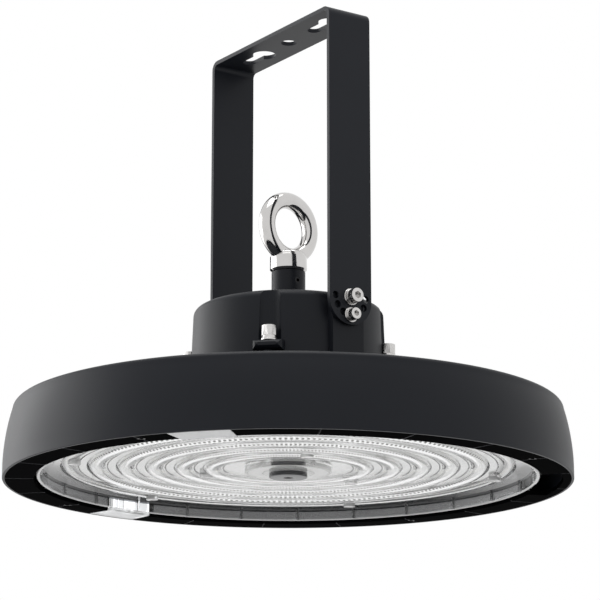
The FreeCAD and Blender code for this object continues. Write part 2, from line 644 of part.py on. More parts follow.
def lens():
    """Clear moulding: raised centre, plate with ring lenses, ribbed skirt, flange, posts and tabs."""
    hole_r = LENS_HOLE_D / 2
    skirt_in = LENS_SKIRT_R - LENS_SKIRT_WALL
    under = [(LENS_CENTRE_R, CENTRE_LOW_Z), (LENS_CENTRE_R, PLATE_LOW_Z)]
    for radius in ring_radii():
        outermost = radius == RING_LAST_R
        half = RING_OUTER_HALF_WIDTH if outermost else RING_HALF_WIDTH
        depth = RING_OUTER_DEPTH if outermost else RING_DEPTH
        under.append((radius - half, PLATE_LOW_Z))
        under.append(((radius, PLATE_LOW_Z - depth), (radius + half, PLATE_LOW_Z)))
    over = []
    for radius in reversed(ring_radii()):
        over.append((radius + RING_GROOVE_HALF, PLATE_TOP_Z))
        over.append(((radius, PLATE_TOP_Z - RING_GROOVE_DEPTH), (radius - RING_GROOVE_HALF, PLATE_TOP_Z)))
    skirt_low = FACE_Z + LENS_SKIRT_LOW
    edge = [(skirt_in, PLATE_LOW_Z), (skirt_in, skirt_low), (LENS_SKIRT_R, skirt_low),
            (LENS_SKIRT_R, CLAMP_Z), (LENS_FLANGE_R, CLAMP_Z), (LENS_FLANGE_R, FLANGE_TOP_Z),
            (skirt_in, FLANGE_TOP_Z), (skirt_in, PLATE_TOP_Z)]
    plate = turned((hole_r, CENTRE_LOW_Z), *under, *edge, *over, (hole_r, PLATE_TOP_Z))
    pieces = []
    for step in range(RIB_COUNT):
        rib = block(skirt_in - RIB_DEPTH, skirt_in + LENS_SKIRT_WALL / 2, -RIB_WIDTH / 2, RIB_WIDTH / 2,
                    skirt_low, PLATE_LOW_Z)
        rib.rotate(Vector(0, 0, 0), UP, RIB_ANGLE + 360.0 / RIB_COUNT * step)
        pieces.append(rib)
    posts = around(OUTER_POST_COUNT, OUTER_POST_R, POST_ANGLE)
    posts += around(INNER_POST_COUNT, INNER_POST_R, INNER_POST_ANGLE)
    pieces += [disc(POST_D / 2, PLATE_LOW_Z - POST_LENGTH, PLATE_TOP_Z, centre) for centre in posts]
    pieces += [lens_tab(tab) for tab in TABS]
    return plate.fuse(pieces)


def lens_tab(tab):
    """Clear tab flush with the bezel: foot, slotted end wall, outer wall, ribs and a window block."""
    skirt_r = LENS_SKIRT_R - LENS_SKIRT_WALL / 2
    foot = sector(skirt_r, tab.outer_r, FACE_Z, FACE_Z + TAB_FOOT_THICK, tab.first, tab.last)
    join = sector(skirt_r, LENS_SKIRT_R, FACE_Z, CLAMP_Z, tab.first, tab.last)
    outer = sector(TAB_BODY_R - TAB_WALL, TAB_BODY_R, FACE_Z, FLANGE_TOP_Z, tab.first, tab.last)
    middle = Vector((LENS_SKIRT_R + TAB_BODY_R) / 2, 0, (FACE_Z + CLAMP_Z) / 2)
    slot = rod(middle, middle + Vector(0, TAB_WALL + TAB_GAP, 0), TAB_SLOT_D)
    end_wall = tab_rib(FLANGE_TOP_Z).cut(slot)
    end_wall.rotate(Vector(0, 0, 0), UP, tab.first)
    pieces = [join, outer, end_wall]
    for step in range(TAB_RIB_COUNT):
        rib = tab_rib(CLAMP_Z - TAB_WALL)
        rib.rotate(Vector(0, 0, 0), UP, tab.last - math.degrees(TAB_RIB_STEP * (step + 1) / TAB_BODY_R))
        pieces.append(rib)
    pieces.append(window_block((tab.first + tab.last) / 2))
    return foot.fuse(pieces)


def tab_rib(top_z):
    """Upright wall across a tab, from the skirt to the tab's outer wall."""
    low_y = TAB_GAP / 2
    skirt_r = LENS_SKIRT_R - LENS_SKIRT_WALL / 2
    return block(skirt_r, TAB_BODY_R - TAB_WALL / 2, low_y, low_y + TAB_WALL, FACE_Z, top_z)


def window_block(angle):
    """Small block with a square window, behind the lens's skirt."""
    half = TAB_BLOCK_LENGTH / 2
    inner = LENS_SKIRT_R - LENS_SKIRT_WALL / 2
    body = block(inner, LENS_SKIRT_R + TAB_BLOCK_DEPTH, -half, half, FACE_Z, CLAMP_Z - TAB_WALL)
    middle_z = (FACE_Z + CLAMP_Z) / 2
    window = block(LENS_SKIRT_R, LENS_SKIRT_R + TAB_BLOCK_DEPTH, -TAB_WINDOW / 2, TAB_WINDOW / 2,
                   middle_z - TAB_WINDOW / 2, middle_z + TAB_WINDOW / 2)
    piece = body.cut(window)
    piece.rotate(Vector(0, 0, 0), UP, angle)
    return piece


def board_screw_points():
    """Places of the screws that hold the lamp board."""
    outer = around(OUTER_POST_COUNT, BOARD_OUTER_SCREW_R, POST_ANGLE + 180.0 / OUTER_POST_COUNT)
    inner = around(INNER_POST_COUNT, BOARD_INNER_SCREW_R, INNER_POST_ANGLE + 180.0 / INNER_POST_COUNT)
    return outer + inner


def led_board():
    """White printed board with a centre opening."""
    board = ring(BOARD_IN_R, BOARD_R, BOARD_LOW_Z, BOARD_SEAT_Z)
    hole_r = BOARD_SCREW.thread_d / 2 + HOLE_GAP
    return board.cut([disc(hole_r, BOARD_LOW_Z, BOARD_SEAT_Z, centre) for centre in board_screw_points()])


def leds():
    """Small lamps in a circle over each ring lens."""
    lamps = []
    for radius in ring_radii():
        count = int(2 * math.pi * radius / LED_PITCH)
        for step in range(count):
            lamp = block(radius - LED_WIDTH / 2, radius + LED_WIDTH / 2, -LED_LENGTH / 2, LED_LENGTH / 2,
                         BOARD_LOW_Z - LED_THICK, BOARD_LOW_Z)
            lamp.rotate(Vector(0, 0, 0), UP, POST_ANGLE + 360.0 / count * step)
            lamps.append(lamp)
    return Part.makeCompound(lamps)


def centre_plug():
    """Dark cap that closes the lens's middle hole."""
    low = CENTRE_LOW_Z - PLUG_THICK
    plug = disc(PLUG_D / 2, low, CENTRE_LOW_Z).fuse(disc(LENS_HOLE_D / 2 - SLIP_GAP, low, PLATE_TOP_Z))
    head_r = CENTRE_SCREW.head_d / 2 + SLIP_GAP
    shank_r = CENTRE_SCREW.thread_d / 2 + HOLE_GAP
    return plug.cut([disc(head_r, low, centre_screw_seat()), disc(shank_r, low, PLATE_TOP_Z)])


def centre_screw_seat():
    """Height where the centre screw's head bears inside the plug."""
    return CENTRE_LOW_Z - PLUG_THICK + CENTRE_SCREW.head_h + CENTRE_SCREW_SINK


def centre_plate():
    """White disc on the lens's inner side, with a threaded boss for the centre screw."""
    top = PLATE_TOP_Z + PLATE_THICK
    plate = disc(PLATE_D / 2, PLATE_TOP_Z, top).fuse(disc(PLATE_BOSS_D / 2, top, top + PLATE_BOSS_HEIGHT))
    return plate.cut(disc(CENTRE_SCREW.thread_d / 2 + THREAD_GAP, PLATE_TOP_Z, top + PLATE_BOSS_HEIGHT))


def eyebolt():
    """Forged eyebolt: shank, collar, waisted neck and ring."""
    centre_z = BOSS_TOP_Z + EYE_CENTRE_HEIGHT
    collar_top = BOSS_TOP_Z + EYE_COLLAR_HEIGHT
    neck_top = collar_top + EYE_NECK_HEIGHT
    collar_r = EYE_COLLAR_D / 2
    neck_r = EYE_NECK_D / 2
    curve = (collar_r - EYE_NECK_TAPER, collar_top + EYE_NECK_CURVE - EYE_NECK_TAPER)
    foot = turned(
        (0, BOSS_TOP_Z),
        (collar_r - EYE_COLLAR_EDGE, BOSS_TOP_Z),
        (collar_r, BOSS_TOP_Z + EYE_COLLAR_EDGE),
        (collar_r, collar_top),
        (curve, (neck_r, collar_top + EYE_NECK_CURVE)),
        (neck_r - EYE_NECK_TAPER, neck_top),
        (0, neck_top),
    )
    loop = Part.makeTorus(EYE_RING_R, EYE_SECTION_R, Vector(0, 0, centre_z), Vector(0, 1, 0))
    loop.rotate(Vector(0, 0, 0), UP, EYE_ANGLE)
    shank = disc(EYE_SHANK_D / 2, BOSS_TOP_Z - EYE_SHANK_LENGTH, BOSS_TOP_Z)
    hole_d = 2 * (EYE_RING_R - EYE_SECTION_R)
    hole = rod(Vector(0, -EYE_RING_R, centre_z), Vector(0, EYE_RING_R, centre_z), hole_d)
    hole.rotate(Vector(0, 0, 0), UP, EYE_ANGLE)
    return foot.fuse(loop).cut(hole).fuse(shank)


def set_screw():
    """Headless screw that locks the eyebolt's thread."""
    height = BOSS_TOP_Z - SET_SCREW_BELOW_BOSS_TOP
    start = Vector(EYE_SHANK_D / 2, 0, height)
    end = Vector(math.sqrt(BOSS_D ** 2 / 4 - SET_SCREW_D ** 2 / 4), 0, height)
    out = Vector(1, 0, 0)
    socket = hexagon(end - out * SET_SCREW_SOCKET, out, SET_SCREW_D / 2, SET_SCREW_SOCKET)
    return rod(start, end, SET_SCREW_D).cut(socket)


def driver_screw_points():
    """Places of the screws that hold the driver's base flange."""
    return around(DRIVER_SCREW_COUNT, (DRIVER_BASE_R + DRIVER_CAN_R) / 2, -GLAND_ANGLE / 2)


def led_driver():
    """Potted driver can on a thin base flange."""
    base_top = SEAT_Z + DRIVER_BASE_THICK
    can = disc(DRIVER_BASE_R, SEAT_Z, base_top).fuse(disc(DRIVER_CAN_R, SEAT_Z, SEAT_Z + DRIVER_HEIGHT))
    hole_r = DRIVER_SCREW.thread_d / 2 + HOLE_GAP
    return can.cut([disc(hole_r, SEAT_Z, base_top, centre) for centre in driver_screw_points()])


def terminal_block():
    """Mains terminal block on the driver's top."""
    long, wide, high = TERMINAL_SIZE
    low = SEAT_Z + DRIVER_HEIGHT
    body = block(-long / 2, long / 2, -wide / 2, wide / 2, low, low + high)
    slots = [rod(Vector(x, 0, low + high / 2), Vector(x, wide, low + high / 2), high / 2)
             for x in (-long / 3, 0, long / 3)]
    return body.cut(slots)


def board_leads():
    """Two leads that go down from the driver through the hub to the lamp board."""
    places = [Vector(side * LEAD_GAP / 2, LEAD_BORE_R, 0) for side in (-1, 1)]
    return Part.makeCompound([disc(LEAD_D / 2, BOARD_SEAT_Z, SEAT_Z, place) for place in places])


def gland_point(radius):
    """Point on the cable gland's axis."""
    return polar(radius, GLAND_ANGLE, BOX_BASE_Z + GLAND_ABOVE_BASE)


def gland_body():
    """Gland body: thread through the box wall, six-sided collar and clamping neck."""
    way = polar(1, GLAND_ANGLE)
    hex_end = GLAND_FACE_R + GLAND_HEX_THICK
    inner_end = GLAND_PAD_IN_R - GLAND_LOCK_THICK
    neck_end = hex_end + GLAND_NECK_LENGTH
    body = hexagon(gland_point(GLAND_FACE_R), way, GLAND_FLATS, GLAND_HEX_THICK)
    body = body.fuse([rod(gland_point(inner_end), gland_point(GLAND_FACE_R), GLAND_THREAD_D),
                      rod(gland_point(hex_end), gland_point(neck_end), GLAND_NECK_D)])
    return body.cut([rod(gland_point(inner_end), gland_point(hex_end), GLAND_BORE_D),
                     rod(gland_point(hex_end), gland_point(neck_end), GLAND_NECK_BORE_D)])


def gland_nut():
    """Cap nut that presses the seal onto the cable."""
    start = GLAND_FACE_R + GLAND_HEX_THICK
    end = start + GLAND_NUT_LENGTH
    cap = rod(gland_point(start), gland_point(end), GLAND_FLATS)
    rim = [e for e in cap.Edges if e.Length > GLAND_FLATS and gland_distance(e) > end - NEAR]
    cap = cap.makeFillet(GLAND_NUT_END / 2, rim)
    return cap.cut([rod(gland_point(start), gland_point(end - GLAND_NUT_END), GLAND_NECK_D + 2 * SLIP_GAP),
                    rod(gland_point(start), gland_point(end), GLAND_NUT_BORE_D)])


def gland_distance(edge):
    """Distance of a round edge's centre along the gland's axis."""
    return edge.CenterOfMass.dot(polar(1, GLAND_ANGLE))


def gland_seal():
    """Rubber sleeve inside the gland."""
    start = GLAND_FACE_R + GLAND_HEX_THICK
    end = start + GLAND_NUT_LENGTH - GLAND_NUT_END
    sleeve = rod(gland_point(start), gland_point(end), GLAND_SEAL_D)
    return sleeve.cut(rod(gland_point(start), gland_point(end), GLAND_SEAL_BORE_D))


def gland_lock_nut():
    """Nut on the gland's thread, against the inside of the box wall."""
    start = gland_point(GLAND_PAD_IN_R - GLAND_LOCK_THICK)
    nut = hexagon(start, polar(1, GLAND_ANGLE), GLAND_FLATS, GLAND_LOCK_THICK)
    return nut.cut(rod(start, gland_point(GLAND_PAD_IN_R), GLAND_THREAD_D + 2 * THREAD_GAP))


def build():
    """Every node of the light by name."""
    down = Vector(0, 0, -1)
    nodes = {
        "housing": housing(),
        "driver_box": driver_box(),
        "box_gasket": ring(BOX_FLANGE_IN_R, HUB_R - BOX_GASKET_INSET, SEAT_Z, BOX_BASE_Z),
        "u_bracket": u_bracket(),
        "eyebolt": eyebolt(),
        "set_screw": set_screw(),
        "lens": lens(),
        "lens_gasket": ring(GASKET_IN_R, LENS_FLANGE_R, FLANGE_TOP_Z, LENS_SEAT_Z),
        "bezel_ring": bezel_ring(),
        "led_board": led_board(),
        "leds": leds(),
        "centre_plug": centre_plug(),
        "centre_plate": centre_plate(),
        "led_driver": led_driver(),
        "terminal_block": terminal_block(),
        "board_leads": board_leads(),
        "gland_body": gland_body(),
        "gland_nut": gland_nut(),
        "gland_seal": gland_seal(),
        "gland_lock_nut": gland_lock_nut(),
    }
    stacks = (
        ("box", BOX_SCREW, [(point, UP) for point in lug_points(LUG_TOP_Z)]),
        ("pivot", PIVOT_SCREW, leg_seats(0.0)),
        ("index", INDEX_SCREW, leg_seats(INDEX_RADIUS)),
    )
    for name, screw, seats in stacks:
        screws, springs, washers = fastened(screw, seats)
        nodes[name + "_screws"] = Part.makeCompound(screws)
        nodes[name + "_spring_washers"] = Part.makeCompound(springs)
        nodes[name + "_washers"] = Part.makeCompound(washers)
    plain = (
        ("bezel_screws", BEZEL_SCREW, down,
         around(BEZEL_SCREW_COUNT, BEZEL_SCREW_R, BEZEL_SCREW_ANGLE, bezel_screw_seat())),
        ("board_screws", BOARD_SCREW, down,
         [point + Vector(0, 0, BOARD_LOW_Z) for point in board_screw_points()]),
        ("centre_screw", CENTRE_SCREW, down, [Vector(0, 0, centre_screw_seat())]),
        ("driver_screws", DRIVER_SCREW, UP,
         [point + Vector(0, 0, SEAT_Z + DRIVER_BASE_THICK) for point in driver_screw_points()]),
    )
    for name, screw, way, seats in plain:
        nodes[name] = Part.makeCompound([screw_solid(screw, seat, way) for seat in seats])
    return nodes


os.makedirs("parts", exist_ok=True)
for node, shape in build().items():
    shape.exportStep("parts/" + node + ".step")
    print(node, len(shape.Solids), shape.isValid(), round(shape.Volume))
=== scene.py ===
"""Looks of the high bay light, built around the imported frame.

Sizes in the classes are millimetres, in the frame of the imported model: the origin is the
middle hole of the bracket's upper face, +Z is up and the bracket's legs lie on +X and -X.
"""

import json
import logging
import math
from dataclasses import dataclass, field
from enum import Enum
from typing import Any, Callable, Iterable, Optional, Protocol, Sequence, Union

import bpy
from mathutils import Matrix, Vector

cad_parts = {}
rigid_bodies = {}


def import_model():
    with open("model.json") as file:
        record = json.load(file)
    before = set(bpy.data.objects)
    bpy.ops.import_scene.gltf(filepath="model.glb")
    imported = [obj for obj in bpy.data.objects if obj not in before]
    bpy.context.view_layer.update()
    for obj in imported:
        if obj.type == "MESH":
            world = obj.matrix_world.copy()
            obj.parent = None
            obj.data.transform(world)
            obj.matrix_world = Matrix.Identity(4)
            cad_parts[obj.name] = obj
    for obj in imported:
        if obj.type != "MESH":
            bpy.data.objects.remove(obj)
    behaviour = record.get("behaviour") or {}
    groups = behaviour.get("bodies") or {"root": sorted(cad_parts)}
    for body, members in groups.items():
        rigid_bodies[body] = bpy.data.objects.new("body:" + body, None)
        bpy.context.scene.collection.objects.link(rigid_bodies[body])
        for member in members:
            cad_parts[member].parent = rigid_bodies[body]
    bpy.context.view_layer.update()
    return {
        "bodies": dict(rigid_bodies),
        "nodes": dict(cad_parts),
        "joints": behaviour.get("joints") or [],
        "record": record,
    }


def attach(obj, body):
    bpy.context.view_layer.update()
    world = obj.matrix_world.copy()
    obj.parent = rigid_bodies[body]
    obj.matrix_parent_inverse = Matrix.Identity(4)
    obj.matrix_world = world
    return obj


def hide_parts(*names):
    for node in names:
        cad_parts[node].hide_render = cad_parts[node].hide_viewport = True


MM = 0.001
PER_MM = 1000.0
NEAR = 1e-5
log = logging.getLogger("high_bay_light")

Point = tuple[float, float]
Place = tuple[float, float, float]
Colour = tuple[float, float, float]


class Op(Enum):
    """Ways in which one solid changes another."""

    UNION = "UNION"
    DIFFERENCE = "DIFFERENCE"


class Leg(Enum):
    """The two legs of the bracket, by the sign of their X."""

    NEAR = 1
    FAR = -1


class Part(Enum):
    """Kinds of mesh elements, by the name of their list in the mesh."""

    VERTEX = "vertices"
    EDGE = "edges"
    FACE = "polygons"


class Zone(Enum):
    """Zones of the lens moulding, each with a finish of its own, in the order of its material slots."""

    CLEAR = 0
    FROSTED_TAB = 1
    HAZY_SKIRT = 2
    GLOWING_BLOCK = 3
    SHADED_CORNER = 4
    CLEAR_POST = 5
    MISTY_EDGE = 6
    MISTY_FLATS = 7


# Shader maths


class Wire:
    """One number on its way through a node tree, with arithmetic as Math nodes."""

    def __init__(self, tree: bpy.types.NodeTree, socket: bpy.types.NodeSocket) -> None:
        """Wrap a socket.

        Args:
            tree: The node tree that the socket belongs to.
            socket: The output socket that carries the number.
        """
        self.tree = tree
        self.socket = socket

    def math(self, operation: str, *values: Union["Wire", float]) -> "Wire":
        """Add a Math node.

        Args:
            operation: The node's operation.
            values: Its inputs, wires or plain numbers.

        Returns:
            The result as a wire.
        """
        node = self.tree.nodes.new("ShaderNodeMath")
        node.operation = operation
        for index, value in enumerate(values):
            if isinstance(value, Wire):
                self.tree.links.new(value.socket, node.inputs[index])
            else:
                node.inputs[index].default_value = value
        return Wire(self.tree, node.outputs[0])

    def __add__(self, other: Union["Wire", float]) -> "Wire":
        """Sum."""
        return self.math("ADD", self, other)

    __radd__ = __add__

    def __mul__(self, other: Union["Wire", float]) -> "Wire":
        """Product."""
        return self.math("MULTIPLY", self, other)

    __rmul__ = __mul__

    def __sub__(self, other: Union["Wire", float]) -> "Wire":
        """Difference."""
        return self.math("SUBTRACT", self, other)

    def __rsub__(self, other: float) -> "Wire":
        """Difference from a plain number."""
        return self.math("SUBTRACT", other, self)

    def __truediv__(self, other: Union["Wire", float]) -> "Wire":
        """Quotient."""
        return self.math("DIVIDE", self, other)

    def __rtruediv__(self, other: float) -> "Wire":
        """Quotient of a plain number."""
        return self.math("DIVIDE", other, self)

    def __pow__(self, power: float) -> "Wire":
        """Power."""
        return self.math("POWER", self, power)

    def __lt__(self, other: Union["Wire", float]) -> "Wire":
        """1 where smaller, else 0."""
        return self.math("LESS_THAN", self, other)

    def __gt__(self, other: Union["Wire", float]) -> "Wire":
        """1 where larger, else 0."""
        return self.math("GREATER_THAN", self, other)

    def larger(self, other: Union["Wire", float]) -> "Wire":
        """The larger of the two."""
        return self.math("MAXIMUM", self, other)

    def smaller(self, other: Union["Wire", float]) -> "Wire":
        """The smaller of the two."""
        return self.math("MINIMUM", self, other)

    def absolute(self) -> "Wire":
        """Size without sign."""
        return self.math("ABSOLUTE", self)

    def repeat(self, length: float) -> "Wire":
        """Distance from the nearest multiple of a length."""
        return self.math("PINGPONG", self, length / 2)


class Paint:
    """A material under construction, with one method for every node that is not maths."""

    def __init__(self, name: str) -> None:
        """Start a material.

        Args:
            name: The material's name.
        """
        self.material = bpy.data.materials.new(name)
        self.material.use_nodes = True
        self.tree = self.material.node_tree
        self.tree.nodes.clear()
        self.output = self.tree.nodes.new("ShaderNodeOutputMaterial")

    def node(self, kind: str, settings: Optional[dict[str, Any]] = None,
             **sockets: Any) -> bpy.types.Node:
        """Add a node: its settings first, then its sockets.

        Args:
            kind: The node's type.
            settings: Its settings by name.
            sockets: Values or links by socket name, with _ for a space.

        Returns:
            The node.
        """
        made = self.tree.nodes.new(kind)
        for key, value in (settings or {}).items():
            setattr(made, key, value)
        for key, value in sockets.items():
            plug = self.plug(made, key)
            if isinstance(value, Wire):
                self.tree.links.new(value.socket, plug)
            elif isinstance(value, bpy.types.NodeSocket):
                self.tree.links.new(value, plug)
            elif hasattr(plug.default_value, "__len__") and len(plug.default_value) == 4:
                plug.default_value = (*value, 1.0)
            else:
                plug.default_value = value
        return made

    @staticmethod
    def plug(made: bpy.types.Node, key: str) -> bpy.types.NodeSocket:
        """Find the enabled input of a node by its name.

        Args:
            made: The node.
            key: The socket's name, with _ for a space.

        Returns:
            The socket.
        """
        name = key.replace("_", " ")
        return next(s for s in made.inputs if s.enabled and s.name == name)

    def place(self) -> bpy.types.NodeSocket:
        """Object coordinates, in metres."""
        return self.node("ShaderNodeTexCoord").outputs["Object"]

    def axes(self) -> tuple[Wire, Wire, Wire]:
        """X, Y and Z of the object coordinates."""
        split = self.node("ShaderNodeSeparateXYZ", None, Vector=self.place())
        return tuple(Wire(self.tree, split.outputs[i]) for i in range(3))

    def around(self) -> tuple[Wire, Wire, Wire]:
        """Place about the light's axis.

        Returns:
            The radius in millimetres, the turn in degrees and the height in millimetres.
        """
        x, y, z = self.axes()
        radius = (x * x + y * y) ** 0.5 * PER_MM
        turn = y.math("ARCTAN2", y, x) * math.degrees(1.0)
        return radius, turn, z * PER_MM

    def noise(self, grain_mm: float, detail: float = 2.0, stretch: Sequence[float] = (1, 1, 1)) -> Wire:
        """Noise over the object, 0 to 1.

        Args:
            grain_mm: Size of a spot.
            detail: Octaves of finer spots.
            stretch: Scale of each axis, larger for finer spots along it.

        Returns:
            The noise.
        """
        turned = self.node("ShaderNodeMapping", None, Vector=self.place(), Scale=stretch)
        made = self.node("ShaderNodeTexNoise", None, Vector=turned.outputs[0], Scale=PER_MM / grain_mm,
                         Detail=detail)
        return Wire(self.tree, made.outputs[0])

    def blend(self, share: Wire, low: Colour, high: Colour) -> bpy.types.NodeSocket:
        """Mix two colours by a wire.

        Args:
            share: 0 for the first colour and 1 for the second.
            low: First colour.
            high: Second colour.

        Returns:
            The colour.
        """
        made = self.node("ShaderNodeMix", {"data_type": "RGBA"}, Factor=share, A=low, B=high)
        return next(s for s in made.outputs if s.enabled)

    def bump(self, height: Wire, depth_mm: float) -> bpy.types.NodeSocket:
        """Raise the surface by a wire.

        Args:
            height: 0 for the low places and 1 for the high ones.
            depth_mm: Height between them.

        Returns:
            The normal.
        """
        made = self.node("ShaderNodeBump", None, Height=height, Distance=depth_mm * MM, Strength=1.0)
        return made.outputs[0]

    def close(self, **sockets: Any) -> bpy.types.Material:
        """End with a Principled shader.

        Args:
            sockets: Its values or links by socket name, with _ for a space.

        Returns:
            The finished material.
        """
        shader = self.node("ShaderNodeBsdfPrincipled", None, **sockets)
        self.tree.links.new(shader.outputs[0], self.output.inputs[0])
        return self.material


# Finishes


@dataclass(frozen=True)
class PowderCoat:
    """Satin black powder coat with a fine orange-peel texture."""

    name: str
    colour: Colour = (0.0072, 0.0085, 0.012)
    lighter: Colour = (0.0105, 0.012, 0.016)
    roughness: float = 0.42
    peel_mm: float = 0.9
    peel_depth_mm: float = 0.012
    cloud_mm: float = 38.0
    speck_mm: float = 0.35
    ior: float = 1.27

    def material(self) -> bpy.types.Material:
        """Build the material.

        Returns:
            The material.
        """
        paint = Paint(self.name)
        peel = paint.noise(self.peel_mm)
        cloud = paint.noise(self.cloud_mm, 3.0)
        speck = paint.noise(self.speck_mm, 1.0)
        colour = paint.blend(cloud * 0.8 + speck * 0.2, self.colour, self.lighter)
        normal = paint.bump(peel, self.peel_depth_mm)
        rough = cloud * 0.06 + speck * 0.05 + (self.roughness - 0.05)
        return paint.close(Base_Color=colour, Roughness=rough, Normal=normal, IOR=self.ior)


@dataclass(frozen=True)
class GlossMoulding:
    """Gloss black moulding with pale radial lines and faint flow marks around the light's axis."""

    name: str
    colour: Colour = (0.0012, 0.0012, 0.0014)
    line_colour: Colour = (0.16, 0.16, 0.17)
    roughness: float = 0.2
    line_count: int = 20
    line_angle: float = 7.67
    line_width_mm: float = 0.7
    line_top_mm: float = -280.6
    flow_mm: float = 24.0
    ring_mm: float = 2.4
    ior: float = 1.004

    def material(self) -> bpy.types.Material:
        """Build the material.

        Returns:
            The material.
        """
        paint = Paint(self.name)
        radius, turn, height = paint.around()
        flow = paint.noise(self.flow_mm)
        rings = (radius + flow * 1.5).repeat(self.ring_mm)
        normal = paint.bump(rings * 0.3 + flow, 0.006)
        rough = flow * 0.08 + self.roughness - 0.04
        beside = (turn - self.line_angle).repeat(360.0 / self.line_count) * radius * math.radians(1.0)
        line = (beside < self.line_width_mm / 2) * (flow * 0.6 + 0.5) * (height < self.line_top_mm)
        colour = paint.blend(line, self.colour, self.line_colour)
        return paint.close(Base_Color=colour, Roughness=rough, Normal=normal, IOR=self.ior)


@dataclass(frozen=True)
class MattMoulding:
    """Matt moulded plastic with a spark-eroded grain."""

    name: str
    colour: Colour
    lighter: Colour
    roughness: float = 0.5
    grain_mm: float = 0.4
    cloud_mm: float = 14.0

    def material(self) -> bpy.types.Material:
        """Build the material.

        Returns:
            The material.
        """
        paint = Paint(self.name)
        grain = paint.noise(self.grain_mm)
        cloud = paint.noise(self.cloud_mm)
        colour = paint.blend(cloud * 0.6 + grain * 0.4, self.colour, self.lighter)
        normal = paint.bump(grain, 0.02)
        rough = cloud * 0.1 + self.roughness - 0.05
        return paint.close(Base_Color=colour, Roughness=rough, Normal=normal)


@dataclass(frozen=True)
class TurnedSteel:
    """Bright stainless steel with fine drawn lines and small blotches."""

    name: str
    colour: Colour = (0.7, 0.69, 0.68)
    darker: Colour = (0.5, 0.49, 0.48)
    roughness: float = 0.24
    line_mm: float = 0.25
    blotch_mm: float = 3.0

    def material(self) -> bpy.types.Material:
        """Build the material.

        Returns:
            The material.
        """
        paint = Paint(self.name)
        lines = paint.noise(self.line_mm, 1.0, (0.12, 0.12, 1.0))
        blotch = paint.noise(self.blotch_mm)
        colour = paint.blend(blotch * 0.5 + lines * 0.5, self.colour, self.darker)
        rough = lines * 0.1 + blotch * 0.06 + self.roughness - 0.08
        normal = paint.bump(lines, 0.004)
        return paint.close(Base_Color=colour, Metallic=1.0, Roughness=rough, Normal=normal)


@dataclass(frozen=True)
class PolishedSteel:
    """Polished forged steel, slightly uneven."""

    name: str
    colour: Colour = (0.64, 0.63, 0.62)
    darker: Colour = (0.54, 0.53, 0.52)
    roughness: float = 0.12
    wave_mm: float = 7.0
    scratch_mm: float = 0.5

    def material(self) -> bpy.types.Material:
        """Build the material.

        Returns:
            The material.
        """
        paint = Paint(self.name)
        wave = paint.noise(self.wave_mm)
        scratch = paint.noise(self.scratch_mm, 2.0, (1.0, 1.0, 0.15))
        colour = paint.blend(wave * 0.7 + scratch * 0.3, self.colour, self.darker)
        rough = scratch * 0.08 + wave * 0.04 + self.roughness - 0.06
        normal = paint.bump(wave * 0.9 + scratch * 0.1, 0.03)
        return paint.close(Base_Color=colour, Metallic=1.0, Roughness=rough, Normal=normal)


@dataclass(frozen=True)
class ClearMoulding:
    """Clear moulded plastic with faint mould waves."""

    name: str
    colour: Colour = (0.997, 0.998, 1.0)
    roughness: float = 0.02
    clearness: float = 1.0
    wave_mm: float = 6.0
    wave_depth_mm: float = 0.008
    # Emission strength: a painted glow, for moulded parts that are no lamp.
    glow: float = 0.0
    cloud_mm: float = 25.0
    ior: float = 1.49

    def material(self) -> bpy.types.Material:
        """Build the material.

        Returns:
            The material.
        """
        paint = Paint(self.name)
        wave = paint.noise(self.wave_mm)
        rough = wave * 0.02 + self.roughness - 0.01
        normal = paint.bump(wave, self.wave_depth_mm)
        return paint.close(Base_Color=self.tint(paint), Roughness=rough, Normal=normal, IOR=self.ior,
                           Transmission_Weight=self.clearness, Emission_Color=self.colour,
                           Emission_Strength=self.glow)

    def tint(self, paint: Paint) -> bpy.types.NodeSocket:
        """Colour with a trace of flow clouds.

        Args:
            paint: The material under construction.

        Returns:
            The colour.
        """
        deeper = tuple(value * 0.98 for value in self.colour)
        return paint.blend(paint.noise(self.cloud_mm), self.colour, deeper)


@dataclass(frozen=True)
class LensMoulding(ClearMoulding):
    """Clear moulding with a painted image of the lamps behind its ring lenses: a row of dark dots painted on
    each flank.
    """

    # Colour of the painted image of the lamps as seen through the ring lenses.
    painted_lamp_image: Colour = (0.05, 0.05, 0.045)
    first_mm: float = 45.75
    pitch_mm: float = 17.25
    last_mm: float = 136.5
    low_mm: float = -272.25
    row_mm: float = 3.95
    row_half_mm: float = 0.55
    dot_pitch: float = 1.8

    def tint(self, paint: Paint) -> bpy.types.NodeSocket:
        """Clear with painted rows of dots, an image of the lamps, on the flanks of each ring lens.

        Args:
            paint: The material under construction.

        Returns:
            The colour.
        """
        radius, turn, height = paint.around()
        beside = (radius - self.first_mm + self.pitch_mm * 2).repeat(self.pitch_mm)
        # Painted image of the lamps: dashed rows of dark dots on each ring lens's flanks.
        rows = (beside - self.row_mm).absolute() < self.row_half_mm
        dash = turn.repeat(self.dot_pitch) > self.dot_pitch / 4
        inside = (radius < self.last_mm) * (height < self.low_mm)
        return paint.blend(rows * dash * inside, self.colour, self.painted_lamp_image)


@dataclass(frozen=True)
class FlatMoulding(ClearMoulding):
    """Misty moulding of the plate's flats, with painted shade that makes it darker towards the front and the
    back.
    """

    painted_shade: Colour = (0.03, 0.032, 0.036)
    back_angle: float = 145.7
    shade_from: float = 0.2
    shade_rise: float = 2.5

    def tint(self, paint: Paint) -> bpy.types.NodeSocket:
        """Pale beside the lens, where the light falls in, and painted shade at its front and back.

        Args:
            paint: The material under construction.

        Returns:
            The colour.
        """
        x, y, _ = paint.axes()
        back = math.radians(self.back_angle)
        along = x * math.cos(back) + y * math.sin(back)
        # Painted shade: darker the nearer a flat lies to the back_angle line through the axis.
        share = ((along * along) / (x * x + y * y) - self.shade_from) * self.shade_rise
        return paint.blend(share.smaller(1.0).larger(0.0), self.colour, self.painted_shade)


